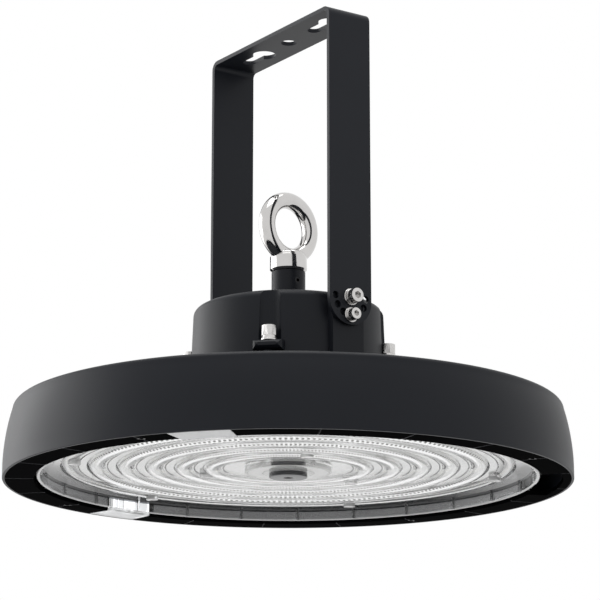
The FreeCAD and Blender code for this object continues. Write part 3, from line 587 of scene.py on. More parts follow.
@dataclass(frozen=True)
class SolderMask:
    """White printed board with faint curved tracks between the circles of lamps."""

    name: str
    colour: Colour = (0.92, 0.92, 0.91)
    track: Colour = (0.72, 0.72, 0.7)
    first_mm: float = 63.0
    pitch_mm: float = 17.25
    track_place_mm: float = 3.4
    track_half_mm: float = 0.7
    grain_mm: float = 0.6

    def material(self) -> bpy.types.Material:
        """Build the material.

        Returns:
            The material.
        """
        paint = Paint(self.name)
        radius = paint.around()[0]
        beside = (radius - (self.first_mm - self.pitch_mm * 2)).repeat(self.pitch_mm)
        track = ((beside - self.track_place_mm).absolute() < self.track_half_mm) * 0.8
        grain = paint.noise(self.grain_mm)
        colour = paint.blend(track + grain * 0.15, self.colour, self.track)
        normal = paint.bump(track + grain * 0.1, 0.03)
        return paint.close(Base_Color=colour, Roughness=grain * 0.15 + 0.35, Normal=normal)


@dataclass(frozen=True)
class LampGel:
    """Yellow phosphor under clear resin."""

    name: str
    colour: Colour = (0.9, 0.85, 0.66)
    paler: Colour = (0.93, 0.89, 0.74)
    grain_mm: float = 0.5

    def material(self) -> bpy.types.Material:
        """Build the material.

        Returns:
            The material.
        """
        paint = Paint(self.name)
        grain = paint.noise(self.grain_mm)
        colour = paint.blend(grain, self.colour, self.paler)
        return paint.close(Base_Color=colour, Roughness=grain * 0.1 + 0.15, Normal=paint.bump(grain, 0.01))


@dataclass(frozen=True)
class PlainMetal:
    """Rolled metal sheet with straight rolling lines."""

    name: str
    colour: Colour = (0.55, 0.56, 0.57)
    darker: Colour = (0.42, 0.43, 0.44)
    roughness: float = 0.38
    line_mm: float = 0.6
    blotch_mm: float = 9.0

    def material(self) -> bpy.types.Material:
        """Build the material.

        Returns:
            The material.
        """
        paint = Paint(self.name)
        lines = paint.noise(self.line_mm, 2.0, (0.05, 1.0, 1.0))
        blotch = paint.noise(self.blotch_mm)
        colour = paint.blend(lines * 0.6 + blotch * 0.4, self.colour, self.darker)
        rough = lines * 0.12 + self.roughness - 0.06
        return paint.close(Base_Color=colour, Metallic=1.0, Roughness=rough, Normal=paint.bump(lines, 0.01))


class Finish(Protocol):
    """What every finish can do."""

    def material(self) -> bpy.types.Material:
        """Build the material."""


SLOT_FINISHES: dict[str, Finish] = {
    "cast_black": PowderCoat("cast_powder_coat"),
    "steel_black": PowderCoat("strap_powder_coat", (0.0092, 0.0107, 0.0147), (0.0132, 0.015, 0.0198),
                              0.38, 0.7),
    "black_plastic": GlossMoulding("bezel_gloss"),
    "dark_plastic": MattMoulding("dark_moulding", (0.03, 0.031, 0.034), (0.045, 0.046, 0.05), 0.26),
    "stainless": TurnedSteel("stainless_steel"),
    "polished_steel": PolishedSteel("polished_steel"),
    "black_screw": TurnedSteel("blackened_steel", (0.03, 0.03, 0.032), (0.02, 0.02, 0.021), 0.34),
    "clear_plastic": LensMoulding("clear_moulding"),
    "seal_rubber": MattMoulding("seal_rubber", (0.04, 0.04, 0.04), (0.06, 0.06, 0.06), 0.75, 0.8),
    "board_white": SolderMask("solder_mask"),
    "lamp_yellow": LampGel("lamp_gel"),
    "driver_grey": PlainMetal("driver_can"),
    "terminal_white": MattMoulding("terminal_moulding", (0.78, 0.78, 0.76), (0.84, 0.84, 0.82), 0.45),
    "lead_red": MattMoulding("lead_sleeve", (0.48, 0.04, 0.03), (0.56, 0.07, 0.05), 0.42, 0.8),
}

LAMP_FRAME = MattMoulding("lamp_frame", (0.86, 0.86, 0.85), (0.9, 0.9, 0.89), 0.4)

ZONE_FINISHES: dict[Zone, Finish] = {
    Zone.FROSTED_TAB: ClearMoulding("frosted_tab", (0.84, 0.845, 0.85), 0.42, 0.4, 2.2, 0.25),
    Zone.HAZY_SKIRT: ClearMoulding("hazy_skirt", (0.9, 0.91, 0.92), 0.06, 0.78, 3.0, 0.015),
    # Painted glow: whitish blocks that give off light of their own, though they are no lamp.
    Zone.GLOWING_BLOCK: ClearMoulding("painted_glow_block", (0.96, 0.965, 0.97), 0.4, 0.08, 1.2, 0.02, 0.4),
    # Painted shade: a dark tint on the top band of the skirt, under the plate.
    Zone.SHADED_CORNER: ClearMoulding("shaded_corner", (0.1, 0.105, 0.115), 0.05, 0.93, 3.0, 0.015),
    Zone.CLEAR_POST: ClearMoulding("clear_post", (0.97, 0.97, 0.97), 0.1, 0.6, 2.2, 0.1),
    Zone.MISTY_EDGE: ClearMoulding("misty_edge", (0.9, 0.9, 0.9), 0.18, 0.55, 2.2, 0.12),
    Zone.MISTY_FLATS: FlatMoulding("misty_flats_painted_shade", (0.93, 0.93, 0.93), 0.15, 0.5, 2.2, 0.12),
}


class Shelf:
    """Every material of the light: by the record's slot, by the lens's zone, and the lamps' frames."""

    def __init__(self) -> None:
        """Build the materials once."""
        self.by_slot = {slot: finish.material() for slot, finish in SLOT_FINISHES.items()}
        self.lamp_frame = LAMP_FRAME.material()
        self.by_zone = {Zone.CLEAR: self.by_slot["clear_plastic"]}
        self.by_zone.update({zone: finish.material() for zone, finish in ZONE_FINISHES.items()})


# Modelling bench


class Bench:
    """Modelling steps that the pieces share. Sizes and places are millimetres."""

    @staticmethod
    def clear() -> None:
        """Leave edit mode and deselect everything."""
        if bpy.context.object is not None and bpy.context.object.mode != "OBJECT":
            bpy.ops.object.mode_set(mode="OBJECT")
        bpy.ops.object.select_all(action="DESELECT")

    @staticmethod
    def take(piece: bpy.types.Object) -> None:
        """Select one piece alone and make it active.

        Args:
            piece: The piece.
        """
        Bench.clear()
        piece.select_set(True)
        bpy.context.view_layer.objects.active = piece

    @staticmethod
    def pick(piece: bpy.types.Object, kind: Part, wanted: Callable[[Any], bool]) -> None:
        """Select the elements of one kind by a test, deselect all others and go to edit mode.

        Args:
            piece: The piece.
            kind: Which elements the test is for.
            wanted: The test.
        """
        Bench.take(piece)
        for other in Part:
            for element in getattr(piece.data, other.value):
                element.select = other is kind and wanted(element)
        bpy.ops.object.mode_set(mode="EDIT")

    @staticmethod
    def settle(piece: bpy.types.Object) -> bpy.types.Object:
        """Put the piece's place, turn and scale into its mesh.

        Args:
            piece: The piece.

        Returns:
            The same piece.
        """
        Bench.take(piece)
        bpy.ops.object.transform_apply(location=True, rotation=True, scale=True)
        return piece

    @staticmethod
    def point(name: str, place: Vector) -> bpy.types.Object:
        """Start a piece from one vertex, and stay in edit mode with the vertex selected.

        Args:
            name: Name of the new piece.
            place: Where the vertex is.

        Returns:
            The piece.
        """
        Bench.clear()
        bpy.ops.mesh.primitive_plane_add(size=MM)
        piece = bpy.context.object
        piece.name = name
        bpy.ops.object.mode_set(mode="EDIT")
        bpy.ops.mesh.select_all(action="SELECT")
        bpy.ops.mesh.merge(type="CENTER")
        bpy.ops.transform.translate(value=place * MM)
        return piece

    @staticmethod
    def clean(piece: bpy.types.Object) -> bpy.types.Object:
        """Put the piece's place into its mesh, merge doubles and turn its faces outwards.

        Args:
            piece: The piece.

        Returns:
            The same piece.
        """
        Bench.settle(piece)
        bpy.ops.object.mode_set(mode="EDIT")
        bpy.ops.mesh.select_all(action="SELECT")
        bpy.ops.mesh.remove_doubles(threshold=1e-6)
        bpy.ops.mesh.normals_make_consistent(inside=False)
        bpy.ops.object.mode_set(mode="OBJECT")
        return piece

    @staticmethod
    def smooth(piece: bpy.types.Object, angle: float = 40.0, weighted: bool = False) -> bpy.types.Object:
        """Shade smooth where faces meet under an angle.

        Args:
            piece: The piece.
            angle: The angle in degrees.
            weighted: Whether large faces keep their own direction, for pieces that were cut or bevelled.

        Returns:
            The same piece.
        """
        Bench.take(piece)
        bpy.ops.object.shade_smooth_by_angle(angle=math.radians(angle))
        if weighted:
            even = piece.modifiers.new("even", "WEIGHTED_NORMAL")
            even.mode = "FACE_AREA"
            even.weight = 100
            even.keep_sharp = True
            bpy.ops.object.modifier_apply(modifier=even.name)
        return piece

    @staticmethod
    def spun(name: str, profile: Sequence[Point], steps: int, first: float = 0.0,
             sweep: float = 360.0) -> bpy.types.Object:
        """Spin a closed profile about the light's axis.

        Args:
            name: Name of the new piece.
            profile: Corners as (radius, height).
            steps: Divisions of the turn.
            first: Angle in degrees where the turn starts.
            sweep: Angle in degrees that it covers.

        Returns:
            The piece.
        """
        out = Vector((math.cos(math.radians(first)), math.sin(math.radians(first)), 0.0))
        up = Vector((0.0, 0.0, 1.0))
        piece = Bench.point(name, out * profile[0][0] + up * profile[0][1])
        for here, there in zip(profile, profile[1:]):
            step = (out * (there[0] - here[0]) + up * (there[1] - here[1])) * MM
            bpy.ops.mesh.extrude_region_move(TRANSFORM_OT_translate={"value": step})
        bpy.ops.mesh.select_all(action="SELECT")
        bpy.ops.mesh.edge_face_add()
        if sweep >= 360.0:
            bpy.ops.mesh.delete(type="ONLY_FACE")
            bpy.ops.mesh.select_all(action="SELECT")
        bpy.ops.mesh.spin(steps=steps, angle=-math.radians(sweep), center=(0, 0, 0), axis=(0, 0, 1))
        return Bench.clean(piece)

    @staticmethod
    def block(name: str, low: Sequence[float], high: Sequence[float]) -> bpy.types.Object:
        """Start a piece from a box between two corners.

        Args:
            name: Name of the new piece.
            low: Lowest corner.
            high: Highest corner.

        Returns:
            The piece.
        """
        Bench.clear()
        centre = [(a + b) / 2 * MM for a, b in zip(low, high)]
        bpy.ops.mesh.primitive_cube_add(size=1.0, location=centre)
        piece = bpy.context.object
        piece.name = name
        piece.scale = [(b - a) * MM for a, b in zip(low, high)]
        return Bench.clean(piece)

    @staticmethod
    def rod(name: str, start: Sequence[float], end: Sequence[float], radius: float,
            sides: int = 48) -> bpy.types.Object:
        """Start a piece from a cylinder between two points.

        Args:
            name: Name of the new piece.
            start: Centre of one end.
            end: Centre of the other end.
            radius: Radius.
            sides: Number of sides.

        Returns:
            The piece.
        """
        Bench.clear()
        way = Vector(end) - Vector(start)
        middle = (Vector(start) + Vector(end)) / 2 * MM
        bpy.ops.mesh.primitive_cylinder_add(vertices=sides, radius=radius * MM, depth=way.length * MM,
                                            location=middle)
        piece = bpy.context.object
        piece.name = name
        piece.rotation_euler = way.to_track_quat("Z", "Y").to_euler()
        return Bench.clean(piece)

    @staticmethod
    def upright(piece: bpy.types.Object, way: Vector, place: Vector) -> bpy.types.Object:
        """Turn a piece that stands on the origin to another direction, and move it to its place.

        Args:
            piece: The piece, upright along +Z.
            way: Its new upward direction.
            place: Where its foot goes.

        Returns:
            The same piece.
        """
        piece.rotation_euler = way.to_track_quat("Z", "Y").to_euler()
        piece.location = place * MM
        return Bench.settle(piece)

    @staticmethod
    def copied(piece: bpy.types.Object, angle: float = 0.0,
               shift: Sequence[float] = (0, 0, 0)) -> bpy.types.Object:
        """Copy a piece with its own mesh, turned about the light's axis and then moved.

        Args:
            piece: The piece to copy.
            angle: Turn in degrees.
            shift: Move after the turn.

        Returns:
            The copy.
        """
        Bench.take(piece)
        bpy.ops.object.duplicate(linked=False)
        twin = bpy.context.object
        twin.rotation_euler = (0.0, 0.0, math.radians(angle))
        twin.location = Vector(shift) * MM
        return Bench.settle(twin)

    @staticmethod
    def joined(pieces: Sequence[bpy.types.Object], name: str) -> bpy.types.Object:
        """Join pieces to one object.

        Args:
            pieces: The pieces, of which the first keeps its materials' order.
            name: Name of the result.

        Returns:
            The joined piece.
        """
        Bench.clear()
        for piece in pieces:
            piece.select_set(True)
        bpy.context.view_layer.objects.active = pieces[0]
        if len(pieces) > 1:
            bpy.ops.object.join()
        pieces[0].name = name
        return pieces[0]

    @staticmethod
    def combined(piece: bpy.types.Object, others: Iterable[bpy.types.Object], op: Op) -> bpy.types.Object:
        """Add or cut other solids, which are used up.

        Args:
            piece: The piece that changes.
            others: The solids.
            op: What they do to it.

        Returns:
            The same piece.
        """
        for other in others:
            Bench.take(piece)
            change = piece.modifiers.new("change", "BOOLEAN")
            change.operation = op.value
            change.solver = "EXACT"
            change.object = other
            bpy.ops.object.modifier_apply(modifier=change.name)
            bpy.data.objects.remove(other)
        return piece

    @staticmethod
    def bevelled(piece: bpy.types.Object, width: float, angle: float = 35.0,
                 segments: int = 2) -> bpy.types.Object:
        """Round the edges that are sharper than an angle.

        Args:
            piece: The piece.
            width: Width of the rounding.
            angle: Least angle in degrees between the faces of such an edge.
            segments: Faces across the rounding.

        Returns:
            The same piece.
        """
        Bench.take(piece)
        soft = piece.modifiers.new("soft", "BEVEL")
        soft.width = width * MM
        soft.segments = segments
        soft.limit_method = "ANGLE"
        soft.angle_limit = math.radians(angle)
        soft.use_clamp_overlap = True
        bpy.ops.object.modifier_apply(modifier=soft.name)
        return piece


def arc(start: Point, middle: Point, end: Point, steps: int) -> list[Point]:
    """Points of the circle through three points, without its start.

    Args:
        start: First point.
        middle: A point on the way.
        end: Last point.
        steps: Number of points returned.

    Returns:
        The points up to and with the end.
    """
    (ax, ay), (bx, by), (cx, cy) = start, middle, end
    a2, b2, c2 = ax * ax + ay * ay, bx * bx + by * by, cx * cx + cy * cy
    d = 2 * (ax * (by - cy) + bx * (cy - ay) + cx * (ay - by))
    ux = (a2 * (by - cy) + b2 * (cy - ay) + c2 * (ay - by)) / d
    uy = (a2 * (cx - bx) + b2 * (ax - cx) + c2 * (bx - ax)) / d
    radius = math.hypot(ax - ux, ay - uy)
    first, through, last = (math.atan2(y - uy, x - ux) for x, y in (start, middle, end))
    sweep = (last - first) % math.tau
    if (through - first) % math.tau > sweep:
        sweep -= math.tau
    turns = [first + sweep * step / steps for step in range(1, steps + 1)]
    return [(ux + radius * math.cos(turn), uy + radius * math.sin(turn)) for turn in turns]


def polar(radius: float, angle: float, height: float = 0.0) -> Vector:
    """Point at a radius, an angle in degrees and a height."""
    turn = math.radians(angle)
    return Vector((radius * math.cos(turn), radius * math.sin(turn), height))


def nearest_step(place: Vector, step: float) -> int:
    """Number of the step, of so many degrees around the axis, that is nearest to a place."""
    return round(math.degrees(math.atan2(place.y, place.x)) / step)


@dataclass
class SubAssembly:
    """What all sub-assemblies share: the finishes, and how a piece joins the frame."""

    shelf: Shelf

    def fit(self, piece: bpy.types.Object, slot: str, nodes: Sequence[str]) -> bpy.types.Object:
        """Give a piece its finish and let it stand for nodes of the frame.

        Args:
            piece: The finished piece.
            slot: The record's material slot.
            nodes: The nodes that it replaces.

        Returns:
            The same piece.
        """
        if not piece.data.materials:
            piece.data.materials.append(self.shelf.by_slot[slot])
        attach(piece, "root")
        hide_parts(*nodes)
        piece.data.name = piece.name
        log.info("piece %s: %d faces, finish %s", piece.name, len(piece.data.polygons), slot)
        return piece


# Lamp body


@dataclass
class LampBody(SubAssembly):
    """Cast body: a tall rim with a rounded shoulder, a plate with radial fins, and a hub."""

    rim_r: float = 170.0
    rim_height: float = 44.2
    straight: float = 8.0
    taper: float = 5.0
    bulge: float = 1.1
    shoulder_r: float = 3.2
    wall: float = 3.6
    lip: float = 1.5
    face_z: float = -281.0
    plate_z: float = -260.0
    seat_z: float = -217.0
    board_seat_z: float = -265.0
    lens_seat_z: float = -267.4
    hub_r: float = 58.0
    hub_wall: float = 5.0
    hub_top: float = 6.0
    board_room_r: float = 139.5
    fin_count: int = 36
    fin_thick: float = 2.2
    fin_low: float = 40.5
    fin_high: float = 60.5
    fin_high_r: float = 64.0
    pillar_r: float = 4.0
    pillar_ring_r: float = 61.0
    pillar_top_z: float = -213.4
    rim_break: float = 0.25
    fillet: float = 3.0
    fillet_middle: float = 0.88
    hub_break: float = 0.5
    lip_depth: float = 2.5

    def profile(self) -> list[Point]:
        """Section of the casting from its lower lip around to the bezel's seat.

        Returns:
            Its corners as (radius, height).
        """
        top_z = self.face_z + self.rim_height
        side_r = self.rim_r - self.taper
        side_z = top_z - self.shoulder_r
        low_z = self.face_z + self.straight
        swell = (self.rim_r - self.taper / 2 + self.bulge, (low_z + side_z) / 2)
        turn = self.shoulder_r * math.sqrt(0.5)
        crown = (side_r - self.shoulder_r + turn, side_z + turn)
        inner_r = side_r - self.wall
        bezel_r = self.rim_r - self.lip
        plate_z, lip_z = self.plate_z, self.face_z + self.lip_depth
        points = [(bezel_r, self.face_z), (self.rim_r - self.rim_break, self.face_z),
                  (self.rim_r, self.face_z + self.rim_break), (self.rim_r, low_z)]
        points += arc((self.rim_r, low_z), swell, (side_r, side_z), 10)
        points += arc((side_r, side_z), crown, (side_r - self.shoulder_r, top_z), 6)
        points += [(inner_r + 0.4, top_z - 0.5), (inner_r, top_z - 0.9), (inner_r, plate_z + self.fillet)]
        points += arc(points[-1], (inner_r - self.fillet_middle, plate_z + self.fillet_middle),
                      (inner_r - self.fillet, plate_z), 4)
        points += [(self.hub_r + self.fillet, plate_z)]
        points += arc(points[-1], (self.hub_r + self.fillet_middle, plate_z + self.fillet_middle),
                      (self.hub_r, plate_z + self.fillet), 4)
        points += [(self.hub_r, self.seat_z - self.hub_break), (self.hub_r - self.hub_break, self.seat_z),
                   (0.0, self.seat_z)]
        room_r, room_z = self.hub_r - self.hub_wall, self.seat_z - self.hub_top
        points += [(0.0, room_z), (room_r, room_z), (room_r, self.board_seat_z),
                   (self.board_room_r, self.board_seat_z),
                   (self.board_room_r, self.lens_seat_z), (bezel_r - self.lip, self.lens_seat_z),
                   (bezel_r - self.lip, lip_z), (bezel_r, lip_z)]
        return points

    def fin(self) -> bpy.types.Object:
        """One cooling fin: a slim wall whose top falls towards the rim.

        Returns:
            The fin, along +X.
        """
        outer = self.rim_r - self.taper - self.wall / 2
        half = self.fin_thick / 2
        fin = Bench.block("fin", (self.hub_r - 1, -half, self.plate_z - 1),
                          (outer, half, self.face_z + self.fin_high))
        Bench.pick(fin, Part.VERTEX, lambda v: v.co.x > (outer - 1) * MM and v.co.z > self.plate_z * MM)
        bpy.ops.transform.translate(value=(0, 0, (self.fin_low - self.fin_high) * MM))
        bpy.ops.mesh.select_all(action="SELECT")
        step_x = self.fin_high_r * MM
        bpy.ops.mesh.bisect(plane_co=(step_x, 0, 0), plane_no=(1, 0, 0))
        bpy.ops.object.mode_set(mode="OBJECT")
        slope = (self.fin_high - self.fin_low) / (outer - self.hub_r + 1)
        rise = slope * (self.fin_high_r - self.hub_r + 1)
        top = (self.face_z + self.fin_high - 2 * rise) * MM
        Bench.pick(fin, Part.VERTEX, lambda v: abs(v.co.x - step_x) < NEAR and v.co.z > top)
        bpy.ops.transform.translate(value=(0, 0, rise * MM))
        bpy.ops.object.mode_set(mode="OBJECT")
        return Bench.bevelled(fin, 0.5, 60.0, 2)

    def build(self) -> None:
        """Model the casting and let it stand for the node."""
        shell = Bench.spun("lamp_body", self.profile(), 224)
        fin = self.fin()
        pieces = [shell]
        for step in range(self.fin_count):
            pieces.append(Bench.copied(fin, 360.0 / self.fin_count * (step + 0.5)))
        bpy.data.objects.remove(fin)
        for step in range(4):
            place = polar(self.pillar_ring_r, 45.0 + 90.0 * step)
            pillar = Bench.rod("pillar", (place.x, place.y, self.plate_z - 1),
                               (place.x, place.y, self.pillar_top_z), self.pillar_r, 32)
            pieces.append(Bench.bevelled(pillar, 0.4))
        body = Bench.joined(pieces, "lamp_body")
        self.fit(Bench.smooth(body, 32.0), "cast_black", ["housing"])


# Driver box


@dataclass
class DriverBox(SubAssembly):
    """Cast box on the body: drafted drum, base flange, flutes, ears, leg pads and boss."""

    base_z: float = -215.4
    top_z: float = -174.9
    base_r: float = 59.0
    top_r: float = 57.5
    edge_r: float = 4.5
    flange_r: float = 61.5
    flange_thick: float = 2.5
    pad_x: float = 62.3
    pad_width: float = 22.0
    ear_width: float = 18.0
    ear_r: float = 68.0
    ear_rise: float = 2.0
    ear_thick: float = 6.0
    ear_corner_r: float = 4.0
    swell: float = 0.15
    pad_depth: float = 11.0
    bolt_r: float = 5.1
    bolt_depth: float = 3.0
    boss_foot_middle: float = 0.73
    set_bore_r: float = 2.05
    set_bore_drop: float = 7.0
    flute_axis_r: float = 62.5
    flute_r: float = 8.0
    boss_r: float = 10.3
    boss_top_z: float = -150.4
    boss_foot_r: float = 2.5
    gland_angle: float = 115.0
    gland_z: float = -194.4
    gland_face_r: float = 61.0
    gland_pad_r: float = 13.0
    wall: float = 4.0

    def drum(self) -> bpy.types.Object:
        """Drum with its rounded top edge and the boss in its middle.

        Returns:
            The drum.
        """
        top = self.top_z
        shoulder = (self.top_r - self.edge_r, top)
        turn = self.edge_r * math.sqrt(0.5)
        crown = (self.top_r - self.edge_r + turn, top - self.edge_r + turn)
        foot = self.boss_r + self.boss_foot_r
        points = [(0.0, top - self.wall), (self.base_r - self.wall - 2.0, top - self.wall),
                  (self.base_r - self.wall, self.base_z), (self.base_r, self.base_z),
                  (self.top_r + self.swell, top - self.edge_r)]
        points += arc(points[-1], crown, shoulder, 7)
        points += [(foot, top)]
        points += arc(points[-1], (self.boss_r + self.boss_foot_middle, top + self.boss_foot_middle),
                      (self.boss_r, top + self.boss_foot_r), 4)
        points += [(self.boss_r, self.boss_top_z - 0.7), (self.boss_r - 0.7, self.boss_top_z),
                   (self.bolt_r, self.boss_top_z), (self.bolt_r, self.boss_top_z - self.bolt_depth),
                   (0.0, self.boss_top_z - self.bolt_depth)]
        return Bench.spun("driver_box_casting", points, 160)

    def ear(self, angle: float) -> bpy.types.Object:
        """One ear under a corner screw.

        Args:
            angle: Its place around the axis in degrees.

        Returns:
            The ear.
        """
        half = self.ear_width / 2
        low = self.base_z + self.ear_rise
        ear = Bench.block("ear", (self.base_r - 12, -half, low), (self.ear_r, half, low + self.ear_thick))
        corners_r = self.base_r * MM

        def outer_upright(edge: bpy.types.MeshEdge) -> bool:
            """Whether an edge is one of the two upright ones at the ear's tip."""
            start, end = (ear.data.vertices[i].co for i in edge.vertices)
            return abs(start.z - end.z) > NEAR and start.x > corners_r

        Bench.pick(ear, Part.EDGE, outer_upright)
        bpy.ops.mesh.bevel(offset=self.ear_corner_r * MM, segments=6, affect="EDGES")
        bpy.ops.object.mode_set(mode="OBJECT")
        ear.rotation_euler = (0.0, 0.0, math.radians(angle))
        return Bench.settle(ear)

    def build(self) -> None:
        """Model the box and let it stand for the node."""
        box = self.drum()
        adds = [Bench.spun("flange", [(self.base_r - 3, self.base_z), (self.flange_r, self.base_z),
                                      (self.flange_r, self.base_z + self.flange_thick),
                                      (self.base_r - 3, self.base_z + self.flange_thick)], 160)]
        for leg in Leg:
            inner, outer = sorted((leg.value * (self.pad_x - self.pad_depth), leg.value * self.pad_x))
            pad = Bench.block("pad", (inner, -self.pad_width / 2, self.base_z),
                              (outer, self.pad_width / 2, self.top_z - self.edge_r / 2))
            adds.append(pad)
        adds += [self.ear(45.0 + 90.0 * step) for step in range(4)]
        adds.append(Bench.rod("gland_pad", polar(self.gland_face_r - 9, self.gland_angle, self.gland_z),
                              polar(self.gland_face_r, self.gland_angle, self.gland_z), self.gland_pad_r, 64))
        Bench.combined(box, adds, Op.UNION)
        cuts = []
        ear_top = self.base_z + self.ear_rise + self.ear_thick
        for step in range(4):
            axis = polar(self.flute_axis_r, 45.0 + 90.0 * step)
            cuts.append(Bench.rod("flute", (axis.x, axis.y, ear_top), (axis.x, axis.y, self.top_z + 2),
                                  self.flute_r, 64))
        set_z = self.boss_top_z - self.set_bore_drop
        cuts.append(Bench.rod("set_bore", (5, 0, set_z), (self.boss_r + 2, 0, set_z), self.set_bore_r, 32))
        Bench.combined(box, cuts, Op.DIFFERENCE)
        Bench.clean(box)
        Bench.bevelled(box, 0.45, 38.0, 2)
        self.fit(Bench.smooth(box, 40.0, True), "cast_black", ["driver_box"])


# Bracket


@dataclass
class StrapBracket(SubAssembly):
    """Folded steel strap with keyholes on top and index holes at its pivots."""

    width: float = 30.0
    thick: float = 2.5
    bend_r: float = 5.5
    leg_x: float = 64.8
    pivot_z: float = -179.5
    below_pivot: float = 16.6
    hole_r: float = 4.9
    round_r: float = 7.5
    slot_r: float = 4.0
    inner_x: float = 27.5
    outer_x: float = 44.5
    index_count: int = 7
    index_step: float = 30.0
    index_r: float = 10.8
    pivot_hole_r: float = 2.75
    index_hole_r: float = 2.25

    def strap(self) -> bpy.types.Object:
        """Flat strip extruded along the fold and given its thickness.

        Returns:
            The folded strap, without its rounded ends and holes.
        """
        half = self.width / 2
        low = self.pivot_z - self.below_pivot + half
        route = [(self.leg_x, low), (self.leg_x, -self.bend_r)]
        turn = self.bend_r * (1 - math.sqrt(0.5))
        route += arc(route[-1], (self.leg_x - turn, -turn), (self.leg_x - self.bend_r, 0.0), 8)
        route += [(-x, z) for x, z in reversed(route)]
        piece = Bench.point("strap_bracket", Vector((route[0][0], -half, route[0][1])))
        for here, there in zip(route, route[1:]):
            step = Vector((there[0] - here[0], 0.0, there[1] - here[1])) * MM
            bpy.ops.mesh.extrude_region_move(TRANSFORM_OT_translate={"value": step})
        bpy.ops.mesh.select_all(action="SELECT")
        bpy.ops.mesh.extrude_region_move(TRANSFORM_OT_translate={"value": (0, self.width * MM, 0)})
        Bench.clean(piece)
        wall = piece.modifiers.new("wall", "SOLIDIFY")
        wall.thickness = self.thick * MM
        wall.use_even_offset = True
        facing = sum(face.normal.z for face in piece.data.polygons if face.center.z > -NEAR)
        wall.offset = -1.0 if facing > 0 else 1.0
        bpy.ops.object.modifier_apply(modifier=wall.name)
        return Bench.clean(piece)

    def keyhole(self, round_x: float, slot_x: float) -> list[bpy.types.Object]:
        """Make the cutters of one keyhole.

        Args:
            round_x: Where its round part is.
            slot_x: Where its slot ends.

        Returns:
            The cutters.
        """
        low, high = -self.thick - 2, 2.0
        start, end = sorted((round_x, slot_x))
        return [Bench.rod("key_round", (round_x, 0, low), (round_x, 0, high), self.round_r, 64),
                Bench.rod("key_end", (slot_x, 0, low), (slot_x, 0, high), self.slot_r, 48),
                Bench.block("key_slot", (start, -self.slot_r, low), (end, self.slot_r, high))]

    def build(self) -> None:
        """Model the bracket and let it stand for the node."""
        strap = self.strap()
        end_z = self.pivot_z - self.below_pivot + self.width / 2
        inner_x = self.leg_x - self.thick
        ends = [Bench.rod("leg_end", (leg.value * self.leg_x, 0, end_z), (leg.value * inner_x, 0, end_z),
                          self.width / 2, 96) for leg in Leg]
        Bench.combined(strap, ends, Op.UNION)
        cuts = [Bench.rod("middle_hole", (0, 0, -5), (0, 0, 2), self.hole_r, 64)]
        cuts += self.keyhole(-self.inner_x, -self.outer_x) + self.keyhole(self.outer_x, self.inner_x)
        reach = self.leg_x + 3
        cuts.append(Bench.rod("pivot_hole", (-reach, 0, self.pivot_z), (reach, 0, self.pivot_z),
                              self.pivot_hole_r, 40))
        for step in range(self.index_count):
            turn = math.radians(-self.index_step * step)
            across = self.index_r * math.cos(turn)
            height = self.pivot_z + self.index_r * math.sin(turn)
            cuts.append(Bench.rod("index_hole", (-reach, across, height), (reach, across, height),
                                  self.index_hole_r, 32))
        Bench.combined(strap, cuts, Op.DIFFERENCE)
        Bench.clean(strap)
        Bench.bevelled(strap, 0.35, 40.0, 2)
        self.fit(Bench.smooth(strap, 50.0, True), "steel_black", ["u_bracket"])


# Fasteners


@dataclass(frozen=True)
class ScrewSize:
    """Sizes of a socket head screw and its washers."""

    thread_r: float
    length: float
    head_r: float
    head_h: float
    washer_r: float = 0.0
    washer_t: float = 0.0
    spring_r: float = 0.0
    spring_t: float = 0.0

    def stack(self) -> float:
        """Height of both washers."""
        return self.washer_t + self.spring_t


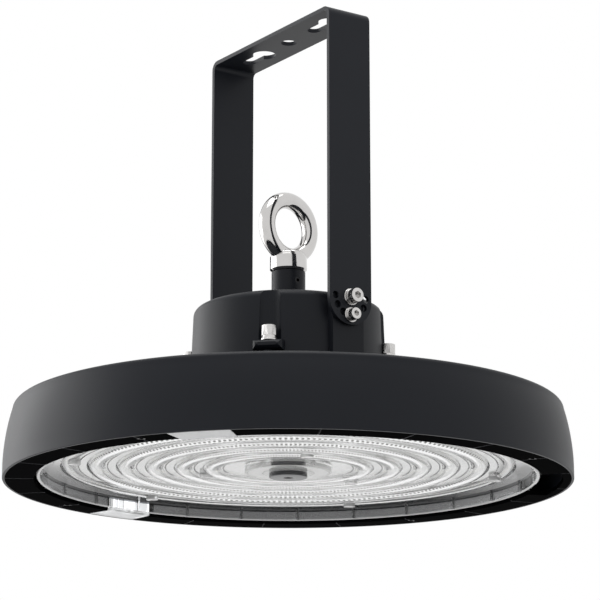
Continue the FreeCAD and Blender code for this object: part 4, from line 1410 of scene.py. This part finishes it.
@dataclass
class Fasteners(SubAssembly):
    """Screws, spring washers and flat washers, each modelled once and copied."""

    leg_x: float = 64.8
    pivot_z: float = -179.5
    index_drop: float = 10.8
    ear_top_z: float = -207.4
    ear_screw_r: float = 61.0
    pivot: ScrewSize = ScrewSize(2.5, 15.0, 4.25, 5.0, 5.0, 1.0, 4.5, 1.3)
    index: ScrewSize = ScrewSize(2.0, 13.0, 3.5, 4.0, 4.5, 0.8, 3.7, 1.1)
    box: ScrewSize = ScrewSize(2.5, 20.0, 4.2, 6.2, 4.8, 1.2, 4.4, 1.8)
    head_edge: float = 0.45
    groove_share: float = 0.955
    socket_share: float = 0.93
    split_angle: float = 96.0
    split_sweep: float = 348.0

    def screw(self, size: ScrewSize) -> bpy.types.Object:
        """Upright screw whose head stands on the origin: knurled head, hex socket and shank.

        Args:
            size: Its sizes.

        Returns:
            The screw.
        """
        edge = self.head_edge
        side_top = size.head_h - edge
        points = [(0.0, -size.length), (size.thread_r - 0.4, -size.length),
                  (size.thread_r, -size.length + 0.4), (size.thread_r, 0.0), (size.head_r - 0.2, 0.0),
                  (size.head_r, 0.2), (size.head_r, side_top),
                  (size.head_r - edge * 0.3, size.head_h - edge * 0.3),
                  (size.head_r - edge, size.head_h), (0.0, size.head_h)]
        screw = Bench.spun("screw", points, 72)

        def in_groove(vertex: bpy.types.MeshVertex) -> bool:
            """Whether a vertex is on the head's side, in a groove of its knurl."""
            on_side = 0.19 * MM < vertex.co.z < (size.head_h - edge * 0.9) * MM
            return on_side and nearest_step(vertex.co, 5.0) % 2 == 0

        Bench.pick(screw, Part.VERTEX, in_groove)
        bpy.ops.transform.resize(value=(self.groove_share, self.groove_share, 1.0), center_override=(0, 0, 0))
        bpy.ops.object.mode_set(mode="OBJECT")
        socket = Bench.rod("socket", (0, 0, size.head_h * 0.4), (0, 0, size.head_h + 1),
                           size.thread_r * self.socket_share, 6)
        Bench.combined(screw, [socket], Op.DIFFERENCE)
        return Bench.smooth(Bench.clean(screw), 28.0)

    def washer(self, bore: float, outer: float, thick: float) -> bpy.types.Object:
        """Flat washer on the origin with broken edges.

        Args:
            bore: Inner radius.
            outer: Outer radius.
            thick: Thickness.

        Returns:
            The washer.
        """
        e = 0.15
        points = [(bore, 0.0), (outer - e, 0.0), (outer, e), (outer, thick - e), (outer - e, thick),
                  (bore, thick)]
        return Bench.smooth(Bench.spun("washer", points, 64), 40.0)

    def spring(self, bore: float, outer: float, thick: float) -> bpy.types.Object:
        """Split spring washer on the origin.

        Args:
            bore: Inner radius.
            outer: Outer radius.
            thick: Thickness.

        Returns:
            The spring washer.
        """
        e = 0.12
        points = [(bore, e), (bore + e, 0.0), (outer - e, 0.0), (outer, e), (outer, thick - e),
                  (outer - e, thick), (bore + e, thick), (bore, thick - e)]
        return Bench.smooth(Bench.spun("spring", points, 60, self.split_angle, self.split_sweep), 30.0)

    def placed(self, piece: bpy.types.Object, seat: Vector, way: Vector, lift: float) -> bpy.types.Object:
        """Copy an upright piece to a seat.

        Args:
            piece: Piece that stands on the origin.
            seat: Where it stands.
            way: Its upward direction there.
            lift: Distance above the seat.

        Returns:
            The copy.
        """
        Bench.take(piece)
        bpy.ops.object.duplicate(linked=False)
        return Bench.upright(bpy.context.object, way, seat + way * lift)

    def stack(self, name: str, size: ScrewSize, seats: Sequence[tuple[Vector, Vector]]) -> None:
        """Make the screws and washers of one kind.

        Args:
            name: The kind, as in the frame's node names.
            size: Its sizes.
            seats: Seat and upward direction of each.
        """
        bore = size.thread_r + 0.1
        kinds = (
            ("screws", self.screw(size), size.stack()),
            ("spring_washers", self.spring(bore, size.spring_r, size.spring_t), size.washer_t),
            ("washers", self.washer(bore, size.washer_r, size.washer_t), 0.0),
        )
        for kind, model, lift in kinds:
            copies = [self.placed(model, seat, way, lift) for seat, way in seats]
            bpy.data.objects.remove(model)
            whole = Bench.joined(copies, f"bright_{name}_{kind}")
            self.fit(whole, "stainless", [f"{name}_{kind}"])

    def build(self) -> None:
        """Model every visible stack."""
        up = Vector((0, 0, 1))
        sides = [(Vector((leg.value * self.leg_x, 0, self.pivot_z)), Vector((leg.value, 0, 0)))
                 for leg in Leg]
        drop = Vector((0, 0, self.index_drop))
        self.stack("pivot", self.pivot, sides)
        self.stack("index", self.index, [(seat - drop, way) for seat, way in sides])
        ears = [(polar(self.ear_screw_r, 45.0 + 90.0 * step, self.ear_top_z), up) for step in range(4)]
        self.stack("box", self.box, ears)


# Eyebolt


@dataclass
class Eyebolt(SubAssembly):
    """Forged and polished eyebolt: collar, waisted neck and ring."""

    boss_top_z: float = -150.4
    shank_r: float = 5.0
    shank_length: float = 18.0
    collar_r: float = 11.3
    collar_h: float = 9.6
    neck_r: float = 7.0
    ring_r: float = 17.5
    section_r: float = 5.0
    centre_h: float = 27.7
    angle: float = 97.7

    def build(self) -> None:
        """Model the eyebolt and let it stand for the node."""
        low = self.boss_top_z
        top = low + self.collar_h
        points = [(0.0, low - self.shank_length), (self.shank_r - 0.8, low - self.shank_length),
                  (self.shank_r, low - self.shank_length + 0.8), (self.shank_r, low),
                  (self.collar_r - 1.2, low), (self.collar_r, low + 1.2), (self.collar_r, top - 0.8),
                  (self.collar_r - 0.25, top - 0.2), (self.collar_r - 0.8, top)]
        points += arc(points[-1], (self.collar_r - 1.2, top + 1.5), (self.neck_r, top + 2.6), 5)
        points += [(self.neck_r - 1.0, top + 3.0), (0.0, top + 3.0)]
        bolt = Bench.spun("polished_eyebolt", points, 96)
        Bench.clear()
        bpy.ops.mesh.primitive_torus_add(major_radius=self.ring_r * MM, minor_radius=self.section_r * MM,
                                         major_segments=128, minor_segments=40,
                                         location=(0, 0, (low + self.centre_h) * MM),
                                         rotation=(math.radians(90), 0, math.radians(self.angle)))
        ring = Bench.clean(bpy.context.object)
        Bench.combined(bolt, [ring], Op.UNION)
        Bench.clean(bolt)
        Bench.bevelled(bolt, 0.5, 34.0, 3)
        self.fit(Bench.smooth(bolt, 45.0), "polished_steel", ["eyebolt"])


# Lens and lamps


@dataclass(frozen=True)
class Tab:
    """Span of one clear tab in degrees, how far out its foot reaches, and whether its blocks get a painted
    glow.
    """

    first: float
    last: float
    outer_r: float
    painted_glow: bool = False

    def covers(self, turn: float, margin: float) -> bool:
        """Whether an angle lies within the tab's span and a margin around it, in degrees."""
        return self.first - margin < turn < self.last + margin


@dataclass
class RingLens(SubAssembly):
    """Clear moulding: raised centre, plate with ring lenses, ribbed skirt, flange, posts and tabs."""

    face_z: float = -281.0
    skirt_r: float = 150.0
    skirt_wall: float = 2.5
    skirt_low: float = 1.5
    corner: float = 1.9
    clamp_z: float = -271.0
    flange_top_z: float = -269.0
    flange_r: float = 156.0
    plate_low_z: float = -272.0
    plate_top_z: float = -270.0
    hole_r: float = 10.6
    centre_r: float = 26.0
    centre_low_z: float = -274.8
    ring_radii: tuple[float, ...] = (45.75, 63.0, 80.25, 97.5, 114.75, 132.0)
    half_width: float = 5.5
    depth: float = 2.5
    outer_half: float = 4.0
    outer_depth: float = 1.2
    groove_half: float = 3.5
    groove_depth: float = 1.8
    line_offset: float = 6.8
    line_half: float = 0.4
    line_depth: float = 0.35
    rib_count: int = 25
    rib_angle: float = 143.2
    rib_width: float = 1.6
    rib_depth: float = 1.2
    post_r: float = 3.8
    post_length: float = 2.8
    post_rows: tuple[tuple[int, float, float], ...] = ((6, 128.6, 67.8), (3, 52.3, 98.0))
    tabs: tuple[Tab, ...] = (Tab(302.8, 315.0, 168.0), Tab(182.6, 194.8, 168.0, True), Tab(59.6, 70.0, 163.0))
    body_r: float = 163.0
    tab_wall: float = 1.5
    foot: float = 1.2
    tab_rib_gap: float = 4.0
    block_half: float = 4.5
    block_depth: float = 5.0
    window_half: float = 1.3

    def profile(self) -> list[Point]:
        """Section from the middle hole out over the skirt and back over the plate.

        Returns:
            Its corners as (radius, height).
        """
        low, top = self.plate_low_z, self.plate_top_z
        inner = self.skirt_r - self.skirt_wall
        edge = self.face_z + self.skirt_low
        centre = self.centre_low_z
        points = [(self.hole_r, centre), (self.centre_r - 0.4, centre), (self.centre_r, centre + 0.4),
                  (self.centre_r, low)]
        for radius in self.ring_radii:
            line = radius - self.line_offset
            points += [(line - self.line_half, low), (line, low + self.line_depth),
                       (line + self.line_half, low)]
            outermost = radius == self.ring_radii[-1]
            half = self.outer_half if outermost else self.half_width
            depth = self.outer_depth if outermost else self.depth
            points.append((radius - half, low))
            points += arc(points[-1], (radius, low - depth), (radius + half, low), 10)
        half = self.skirt_wall / 2
        points += [(inner - 1.0, low), (inner, low - 1.0), (inner, low - self.corner), (inner, edge + half)]
        points += arc(points[-1], (inner + half, edge), (self.skirt_r, edge + half), 8)
        points += [(self.skirt_r, self.clamp_z), (self.flange_r, self.clamp_z),
                   (self.flange_r, self.flange_top_z), (inner, self.flange_top_z), (inner, top)]
        for radius in reversed(self.ring_radii):
            points.append((radius + self.groove_half, top))
            points += arc(points[-1], (radius, top - self.groove_depth),
                          (radius - self.groove_half, top), 8)
        points.append((self.hole_r, top))
        return points

    def sector(self, inner: float, outer: float, low: float, high: float, first: float,
               last: float) -> bpy.types.Object:
        """Piece of an upright tube between two angles."""
        profile = [(inner, low), (outer, low), (outer, high), (inner, high)]
        return Bench.spun("sector", profile, max(4, round(last - first)), first, last - first)

    def tab(self, tab: Tab) -> bpy.types.Object:
        """One clear tab flush with the bezel: foot, walls, ribs and a block with a window.

        Args:
            tab: Its span and reach.

        Returns:
            The tab.
        """
        root = self.skirt_r - self.skirt_wall / 2
        face = self.face_z
        piece = self.sector(root, tab.outer_r, face, face + self.foot, tab.first, tab.last)
        base = face + self.foot / 2
        outer = min(self.body_r, tab.outer_r - 0.2)
        adds = [self.sector(root, self.skirt_r, base, self.clamp_z, tab.first, tab.last),
                self.sector(outer - self.tab_wall, outer, base, self.flange_top_z, tab.first, tab.last)]
        step = math.degrees(self.tab_rib_gap / self.body_r)
        for count, start in enumerate((tab.first, tab.last - step, tab.last - 2 * step)):
            top = self.flange_top_z if count == 0 else self.clamp_z - self.tab_wall
            width = math.degrees(self.tab_wall / self.body_r)
            adds.append(self.sector(root, outer - 0.2, base, top, start, start + width))
        middle = (tab.first + tab.last) / 2
        half = math.degrees(self.block_half / self.skirt_r)
        adds.append(self.sector(root, self.skirt_r + self.block_depth, base, self.clamp_z - self.tab_wall,
                                middle - half, middle + half))
        Bench.combined(piece, adds, Op.UNION)
        window = math.degrees(self.window_half / self.skirt_r)
        centre = (face + self.clamp_z) / 2
        cut = self.sector(self.skirt_r, self.skirt_r + self.block_depth + 1.0, centre - self.window_half,
                          centre + self.window_half, middle - window, middle + window)
        return Bench.combined(piece, [cut], Op.DIFFERENCE)

    def zone(self, place: Vector) -> Zone:
        """Choose the zone of a face by its place.

        Args:
            place: Centre of the face.

        Returns:
            The zone whose finish the face gets.
        """
        out = math.hypot(place.x, place.y)
        turn = math.degrees(math.atan2(place.y, place.x)) % 360.0
        below = place.z < self.clamp_z - 0.1
        if below and out > self.skirt_r + 0.4:
            # Blocks of a tab with a painted glow get the glowing finish.
            painted_glow = any(tab.painted_glow and tab.covers(turn, 1.0) for tab in self.tabs)
            above_foot = place.z > self.face_z + self.foot + 0.05
            return Zone.GLOWING_BLOCK if painted_glow and above_foot else Zone.FROSTED_TAB
        on_post = place.z < self.plate_low_z - 0.05 and any(
            math.hypot(place.x - spot.x, place.y - spot.y) < self.post_r + 0.1 for spot in self.post_places())
        if on_post:
            return Zone.CLEAR_POST
        inner = self.skirt_r - self.skirt_wall
        # The flats get the misty finish with its painted shade.
        if self.ring_radii[-1] + self.outer_half < out < inner and abs(place.z - self.plate_low_z) < 0.2:
            return Zone.MISTY_FLATS
        if not below or out < inner - 1.3:
            return Zone.CLEAR
        if place.z < self.face_z + self.skirt_low + self.skirt_wall / 4:
            return Zone.MISTY_EDGE
        # The top band of the skirt, under the plate, gets the painted shade.
        if place.z > self.plate_low_z - self.corner:
            return Zone.SHADED_CORNER
        at_tab = any(tab.covers(turn, 1.5) for tab in self.tabs)
        on_rib = out < inner - 0.05
        return Zone.CLEAR if at_tab or on_rib else Zone.HAZY_SKIRT

    def post_places(self) -> list[Vector]:
        """Centres of all posts."""
        return [polar(radius, first + 360.0 / count * step)
                for count, radius, first in self.post_rows for step in range(count)]

    def build(self) -> None:
        """Model the lens and let it stand for the node."""
        lens = Bench.spun("clear_ring_lens", self.profile(), 240)
        inner = self.skirt_r - self.skirt_wall
        half = self.rib_width / 2
        rib = Bench.block("rib", (inner - self.rib_depth, -half, self.face_z + self.skirt_low + 0.1),
                          (inner + 1.2, half, self.plate_low_z + 0.5))
        Bench.bevelled(rib, 0.3, 60.0, 2)
        ribs = [Bench.copied(rib, self.rib_angle + 360.0 / self.rib_count * step)
                for step in range(self.rib_count)]
        bpy.data.objects.remove(rib)
        posts = []
        for place in self.post_places():
            post = Bench.rod("post", (place.x, place.y, self.plate_low_z - self.post_length),
                             (place.x, place.y, self.plate_top_z - 0.3), self.post_r, 32)
            posts.append(Bench.bevelled(post, 0.3))
        adds = [Bench.joined(ribs, "ribs"), Bench.joined(posts, "posts")]
        adds += [self.tab(tab) for tab in self.tabs]
        Bench.combined(lens, adds, Op.UNION)
        Bench.clean(lens)
        for zone in Zone:
            lens.data.materials.append(self.shelf.by_zone[zone])
        for face in lens.data.polygons:
            face.material_index = self.zone(face.center / MM).value
        self.fit(Bench.smooth(lens, 40.0), "clear_plastic", ["lens"])


@dataclass
class CentreCap(SubAssembly):
    """Dark cap in the middle of the lens: a flat head with rounded edges on a wide shank."""

    low_z: float = -277.5
    seat_z: float = -274.8
    top_z: float = -270.0
    head_r: float = 11.4
    shank_r: float = 10.5
    edge: float = 0.35
    screw_r: float = 2.85
    screw_seat_z: float = -275.7
    thread_r: float = 1.7

    def build(self) -> None:
        """Model the cap and let it stand for the node."""
        low, seat = self.low_z, self.seat_z
        points = [(self.screw_r, low), (self.head_r - self.edge, low)]
        points += arc(points[-1], (self.head_r - self.edge * 0.3, low + self.edge * 0.3),
                      (self.head_r, low + self.edge), 4)
        points += [(self.head_r, seat - 1.1), (self.head_r - 0.2, seat - 0.9),
                   (self.head_r - 0.2, seat - 0.6), (self.head_r, seat - 0.4), (self.head_r, seat),
                   (self.shank_r, seat), (self.shank_r, self.top_z), (self.thread_r, self.top_z),
                   (self.thread_r, self.screw_seat_z), (self.screw_r, self.screw_seat_z)]
        cap = Bench.spun("centre_cap", points, 96)
        self.fit(Bench.smooth(cap, 35.0), "dark_plastic", ["centre_plug"])


@dataclass
class LampCircles(SubAssembly):
    """Small surface-mounted lamps in circles under the ring lenses."""

    board_low_z: float = -266.6
    thick: float = 0.7
    length: float = 3.5
    width: float = 2.8
    frame_width: float = 0.35
    slope_width: float = 0.08
    sunk: float = 0.12
    pitch: float = 5.5
    parts: int = 6
    first_angle: float = 67.8
    radii: tuple[float, ...] = (45.75, 63.0, 80.25, 97.5, 114.75, 132.0)

    def lamp(self) -> bpy.types.Object:
        """One lamp on the origin: white frame with a sunk yellow field.

        Returns:
            The lamp.
        """
        lamp = Bench.block("lamp", (-self.width / 2, -self.length / 2, self.board_low_z - self.thick),
                           (self.width / 2, self.length / 2, self.board_low_z))
        lamp.data.materials.append(self.shelf.lamp_frame)
        lamp.data.materials.append(self.shelf.by_slot["lamp_yellow"])
        Bench.bevelled(lamp, 0.15, 60.0, 1)
        least = self.width * self.length / 2 * MM * MM
        Bench.pick(lamp, Part.FACE, lambda face: face.normal.z < -0.9 and face.area > least)
        bpy.ops.mesh.select_mode(type="FACE")
        bpy.ops.mesh.inset(thickness=self.frame_width * MM, depth=0.0)
        bpy.ops.mesh.inset(thickness=self.slope_width * MM, depth=-self.sunk * MM)
        lamp.active_material_index = 1
        bpy.ops.object.material_slot_assign()
        bpy.ops.mesh.select_mode(type="VERT")
        bpy.ops.object.mode_set(mode="OBJECT")
        return lamp

    def build(self) -> None:
        """Copy the lamp along a part of each circle, and then that part around the axis."""
        lamp = self.lamp()
        span = 360.0 / self.parts
        copies = []
        for radius in self.radii:
            count = int(math.radians(span) * radius / self.pitch)
            row = Bench.copied(lamp, 0.0, (radius, 0, 0))
            copies += [Bench.copied(row, self.first_angle + span / count * step) for step in range(count)]
            bpy.data.objects.remove(row)
        bpy.data.objects.remove(lamp)
        group = Bench.joined(copies, "lamp_group")
        groups = [group] + [Bench.copied(group, span * step) for step in range(1, self.parts)]
        whole = Bench.joined(groups, "lamp_circles")
        self.fit(whole, "lamp_yellow", ["leds"])


@dataclass
class CableGland(SubAssembly):
    """Cap nut of the cable gland on the far side, with its grips."""

    angle: float = 115.0
    height: float = -194.4
    face_r: float = 61.0
    collar: float = 5.0
    flats: float = 22.0
    nut_length: float = 14.0
    nut_end: float = 4.0
    thread_r: float = 8.6
    bore_r: float = 4.5
    grip_share: float = 1.028

    def cap(self) -> bpy.types.Object:
        """Cap nut along +Z on the origin, with grip ribs around it.

        Returns:
            The nut.
        """
        radius = self.flats / 2
        end = self.nut_length
        points = [(self.thread_r, 0.0), (radius - 0.8, 0.0), (radius - 0.3, 0.5),
                  (radius - 0.3, end - self.nut_end)]
        points += arc(points[-1], (radius - 1.4, end - 1.2), (radius - 4.0, end), 5)
        points += [(self.bore_r + 0.5, end), (self.bore_r, end - 0.5), (self.bore_r, end - self.nut_end),
                   (self.thread_r, end - self.nut_end)]
        cap = Bench.spun("cap", points, 72)

        def on_grip(vertex: bpy.types.MeshVertex) -> bool:
            """Whether a vertex is on the nut's outside, on a grip rib."""
            outside = math.hypot(vertex.co.x, vertex.co.y) > (radius - 0.9) * MM
            return outside and nearest_step(vertex.co, 5.0) % 3 == 0

        Bench.pick(cap, Part.VERTEX, on_grip)
        bpy.ops.transform.resize(value=(self.grip_share, self.grip_share, 1.0), center_override=(0, 0, 0))
        bpy.ops.object.mode_set(mode="OBJECT")
        return Bench.smooth(cap, 25.0)

    def build(self) -> None:
        """Model the cap nut and let it stand for the node."""
        foot = polar(self.face_r + self.collar, self.angle, self.height)
        cap = Bench.clean(Bench.upright(self.cap(), polar(1.0, self.angle), foot))
        cap.name = "gland_cap_nut"
        self.fit(cap, "dark_plastic", ["gland_nut"])


# Studio


@dataclass(frozen=True)
class SoftLamp:
    """A soft rectangular lamp: its name, centre, width and height, all in metres, and power in watts."""

    name: str
    centre: Place
    size: tuple[float, float]
    power: float
    aim: Place = (0.0, 0.0, -0.2)


@dataclass
class Studio:
    """Camera of the photograph, pale floor, world and soft lamps."""

    eye: Place = (1235.4, -843.7, -544.1)
    azimuth: float = 145.40
    pitch: float = 14.117
    lens_mm: float = 152.16
    sensor_mm: float = 36.0
    floor_z: float = -900.0
    floor_size: float = 12000.0
    floor_grain_mm: float = 40.0
    floor_colour: Colour = (0.9, 0.9, 0.9)
    floor_lighter: Colour = (0.93, 0.93, 0.93)
    floor_share: float = 0.92
    world_level: float = 0.62
    lamps: tuple[SoftLamp, ...] = (SoftLamp("left_bank", (-1.6, -1.1, 0.1), (2.4, 1.6), 24.0),
                                   SoftLamp("top_bank", (0.2, -0.2, 1.9), (1.6, 1.6), 20.0))

    def camera(self) -> None:
        """Set the camera at the photograph's place and angle."""
        data = bpy.data.cameras.new("photo_camera")
        data.lens = self.lens_mm
        data.sensor_width = self.sensor_mm
        camera = bpy.data.objects.new("photo_camera", data)
        turn, lift = math.radians(self.azimuth), math.radians(self.pitch)
        way = Vector((math.cos(turn) * math.cos(lift), math.sin(turn) * math.cos(lift), math.sin(lift)))
        camera.location = Vector(self.eye) * MM
        camera.rotation_euler = way.to_track_quat("-Z", "Y").to_euler()
        bpy.context.scene.collection.objects.link(camera)
        bpy.context.scene.camera = camera

    def lamp(self, soft: SoftLamp) -> None:
        """Add a soft rectangular lamp.

        Args:
            soft: Its name, place, size and power.
        """
        data = bpy.data.lights.new(soft.name, "AREA")
        data.shape = "RECTANGLE"
        data.size, data.size_y = soft.size
        data.energy = soft.power
        lamp = bpy.data.objects.new(soft.name, data)
        lamp.location = soft.centre
        lamp.rotation_euler = (Vector(soft.aim) - Vector(soft.centre)).to_track_quat("-Z", "Y").to_euler()
        bpy.context.scene.collection.objects.link(lamp)

    def world(self) -> None:
        """Plain light from all around, white where the camera, gloss or glass looks at it."""
        world = bpy.data.worlds.new("plain_world")
        world.use_nodes = True
        tree = world.node_tree
        tree.nodes.clear()
        path = tree.nodes.new("ShaderNodeLightPath")
        seen = Wire(tree, path.outputs["Is Camera Ray"])
        seen = seen.larger(Wire(tree, path.outputs["Is Transmission Ray"]))
        seen = seen.larger(Wire(tree, path.outputs["Is Glossy Ray"]))
        level = seen * (1.0 - self.world_level) + self.world_level
        sky = tree.nodes.new("ShaderNodeBackground")
        sky.inputs["Color"].default_value = (1.0, 1.0, 1.0, 1.0)
        tree.links.new(level.socket, sky.inputs["Strength"])
        end = tree.nodes.new("ShaderNodeOutputWorld")
        tree.links.new(sky.outputs[0], end.inputs[0])
        bpy.context.scene.world = world

    def floor(self) -> None:
        """Pale floor well below the hanging light."""
        Bench.clear()
        bpy.ops.mesh.primitive_plane_add(size=self.floor_size * MM, location=(0, 0, self.floor_z * MM))
        floor = bpy.context.object
        floor.name = "pale_floor"
        Bench.clean(floor)
        paint = Paint("pale_floor")
        grain = paint.noise(self.floor_grain_mm)
        colour = paint.blend(grain, self.floor_colour, self.floor_lighter)
        plain = paint.node("ShaderNodeBsdfPrincipled", None, Base_Color=colour, Roughness=0.9)
        white = paint.node("ShaderNodeEmission", None, Color=(1.0, 1.0, 1.0), Strength=1.0)
        path = paint.node("ShaderNodeLightPath")
        gloss = Wire(paint.tree, path.outputs["Is Glossy Ray"])
        seen = gloss.larger(Wire(paint.tree, path.outputs["Is Transmission Ray"]))
        mixed = paint.node("ShaderNodeMixShader", None, Fac=seen * self.floor_share)
        paint.tree.links.new(plain.outputs[0], mixed.inputs[1])
        paint.tree.links.new(white.outputs[0], mixed.inputs[2])
        paint.tree.links.new(mixed.outputs[0], paint.output.inputs[0])
        floor.data.materials.append(paint.material)

    def build(self) -> None:
        """Set up the whole studio."""
        self.camera()
        self.world()
        self.floor()
        for soft in self.lamps:
            self.lamp(soft)
        bpy.context.scene.view_settings.view_transform = "Standard"


# Whole light


@dataclass
class HighBayLight:
    """The whole light around the frame."""

    frame: dict[str, Any]
    shelf: Shelf = field(default_factory=Shelf)

    def dress_nodes(self) -> None:
        """Give every node of the frame the finish of its slot."""
        for row in self.frame["record"]["subparts"]:
            node = self.frame["nodes"][row["node"]]
            finish = self.shelf.by_slot[row["material_slot"]]
            if not node.material_slots:
                node.data.materials.append(finish)
            for place in node.material_slots:
                place.material = finish

    def build(self) -> None:
        """Build the sub-assemblies in order."""
        self.dress_nodes()
        for kind in (LampBody, DriverBox, StrapBracket, Fasteners, Eyebolt, RingLens, CentreCap,
                     LampCircles, CableGland):
            kind(self.shelf).build()


def main() -> None:
    """Load the frame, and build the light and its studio."""
    logging.basicConfig(level=logging.INFO, format="%(name)s %(message)s")
    bpy.ops.object.select_all(action="SELECT")
    bpy.ops.object.delete()
    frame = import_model()
    Bench.clear()
    HighBayLight(frame).build()
    Studio().build()
    bpy.context.view_layer.update()


if __name__ == "__main__":
    main()
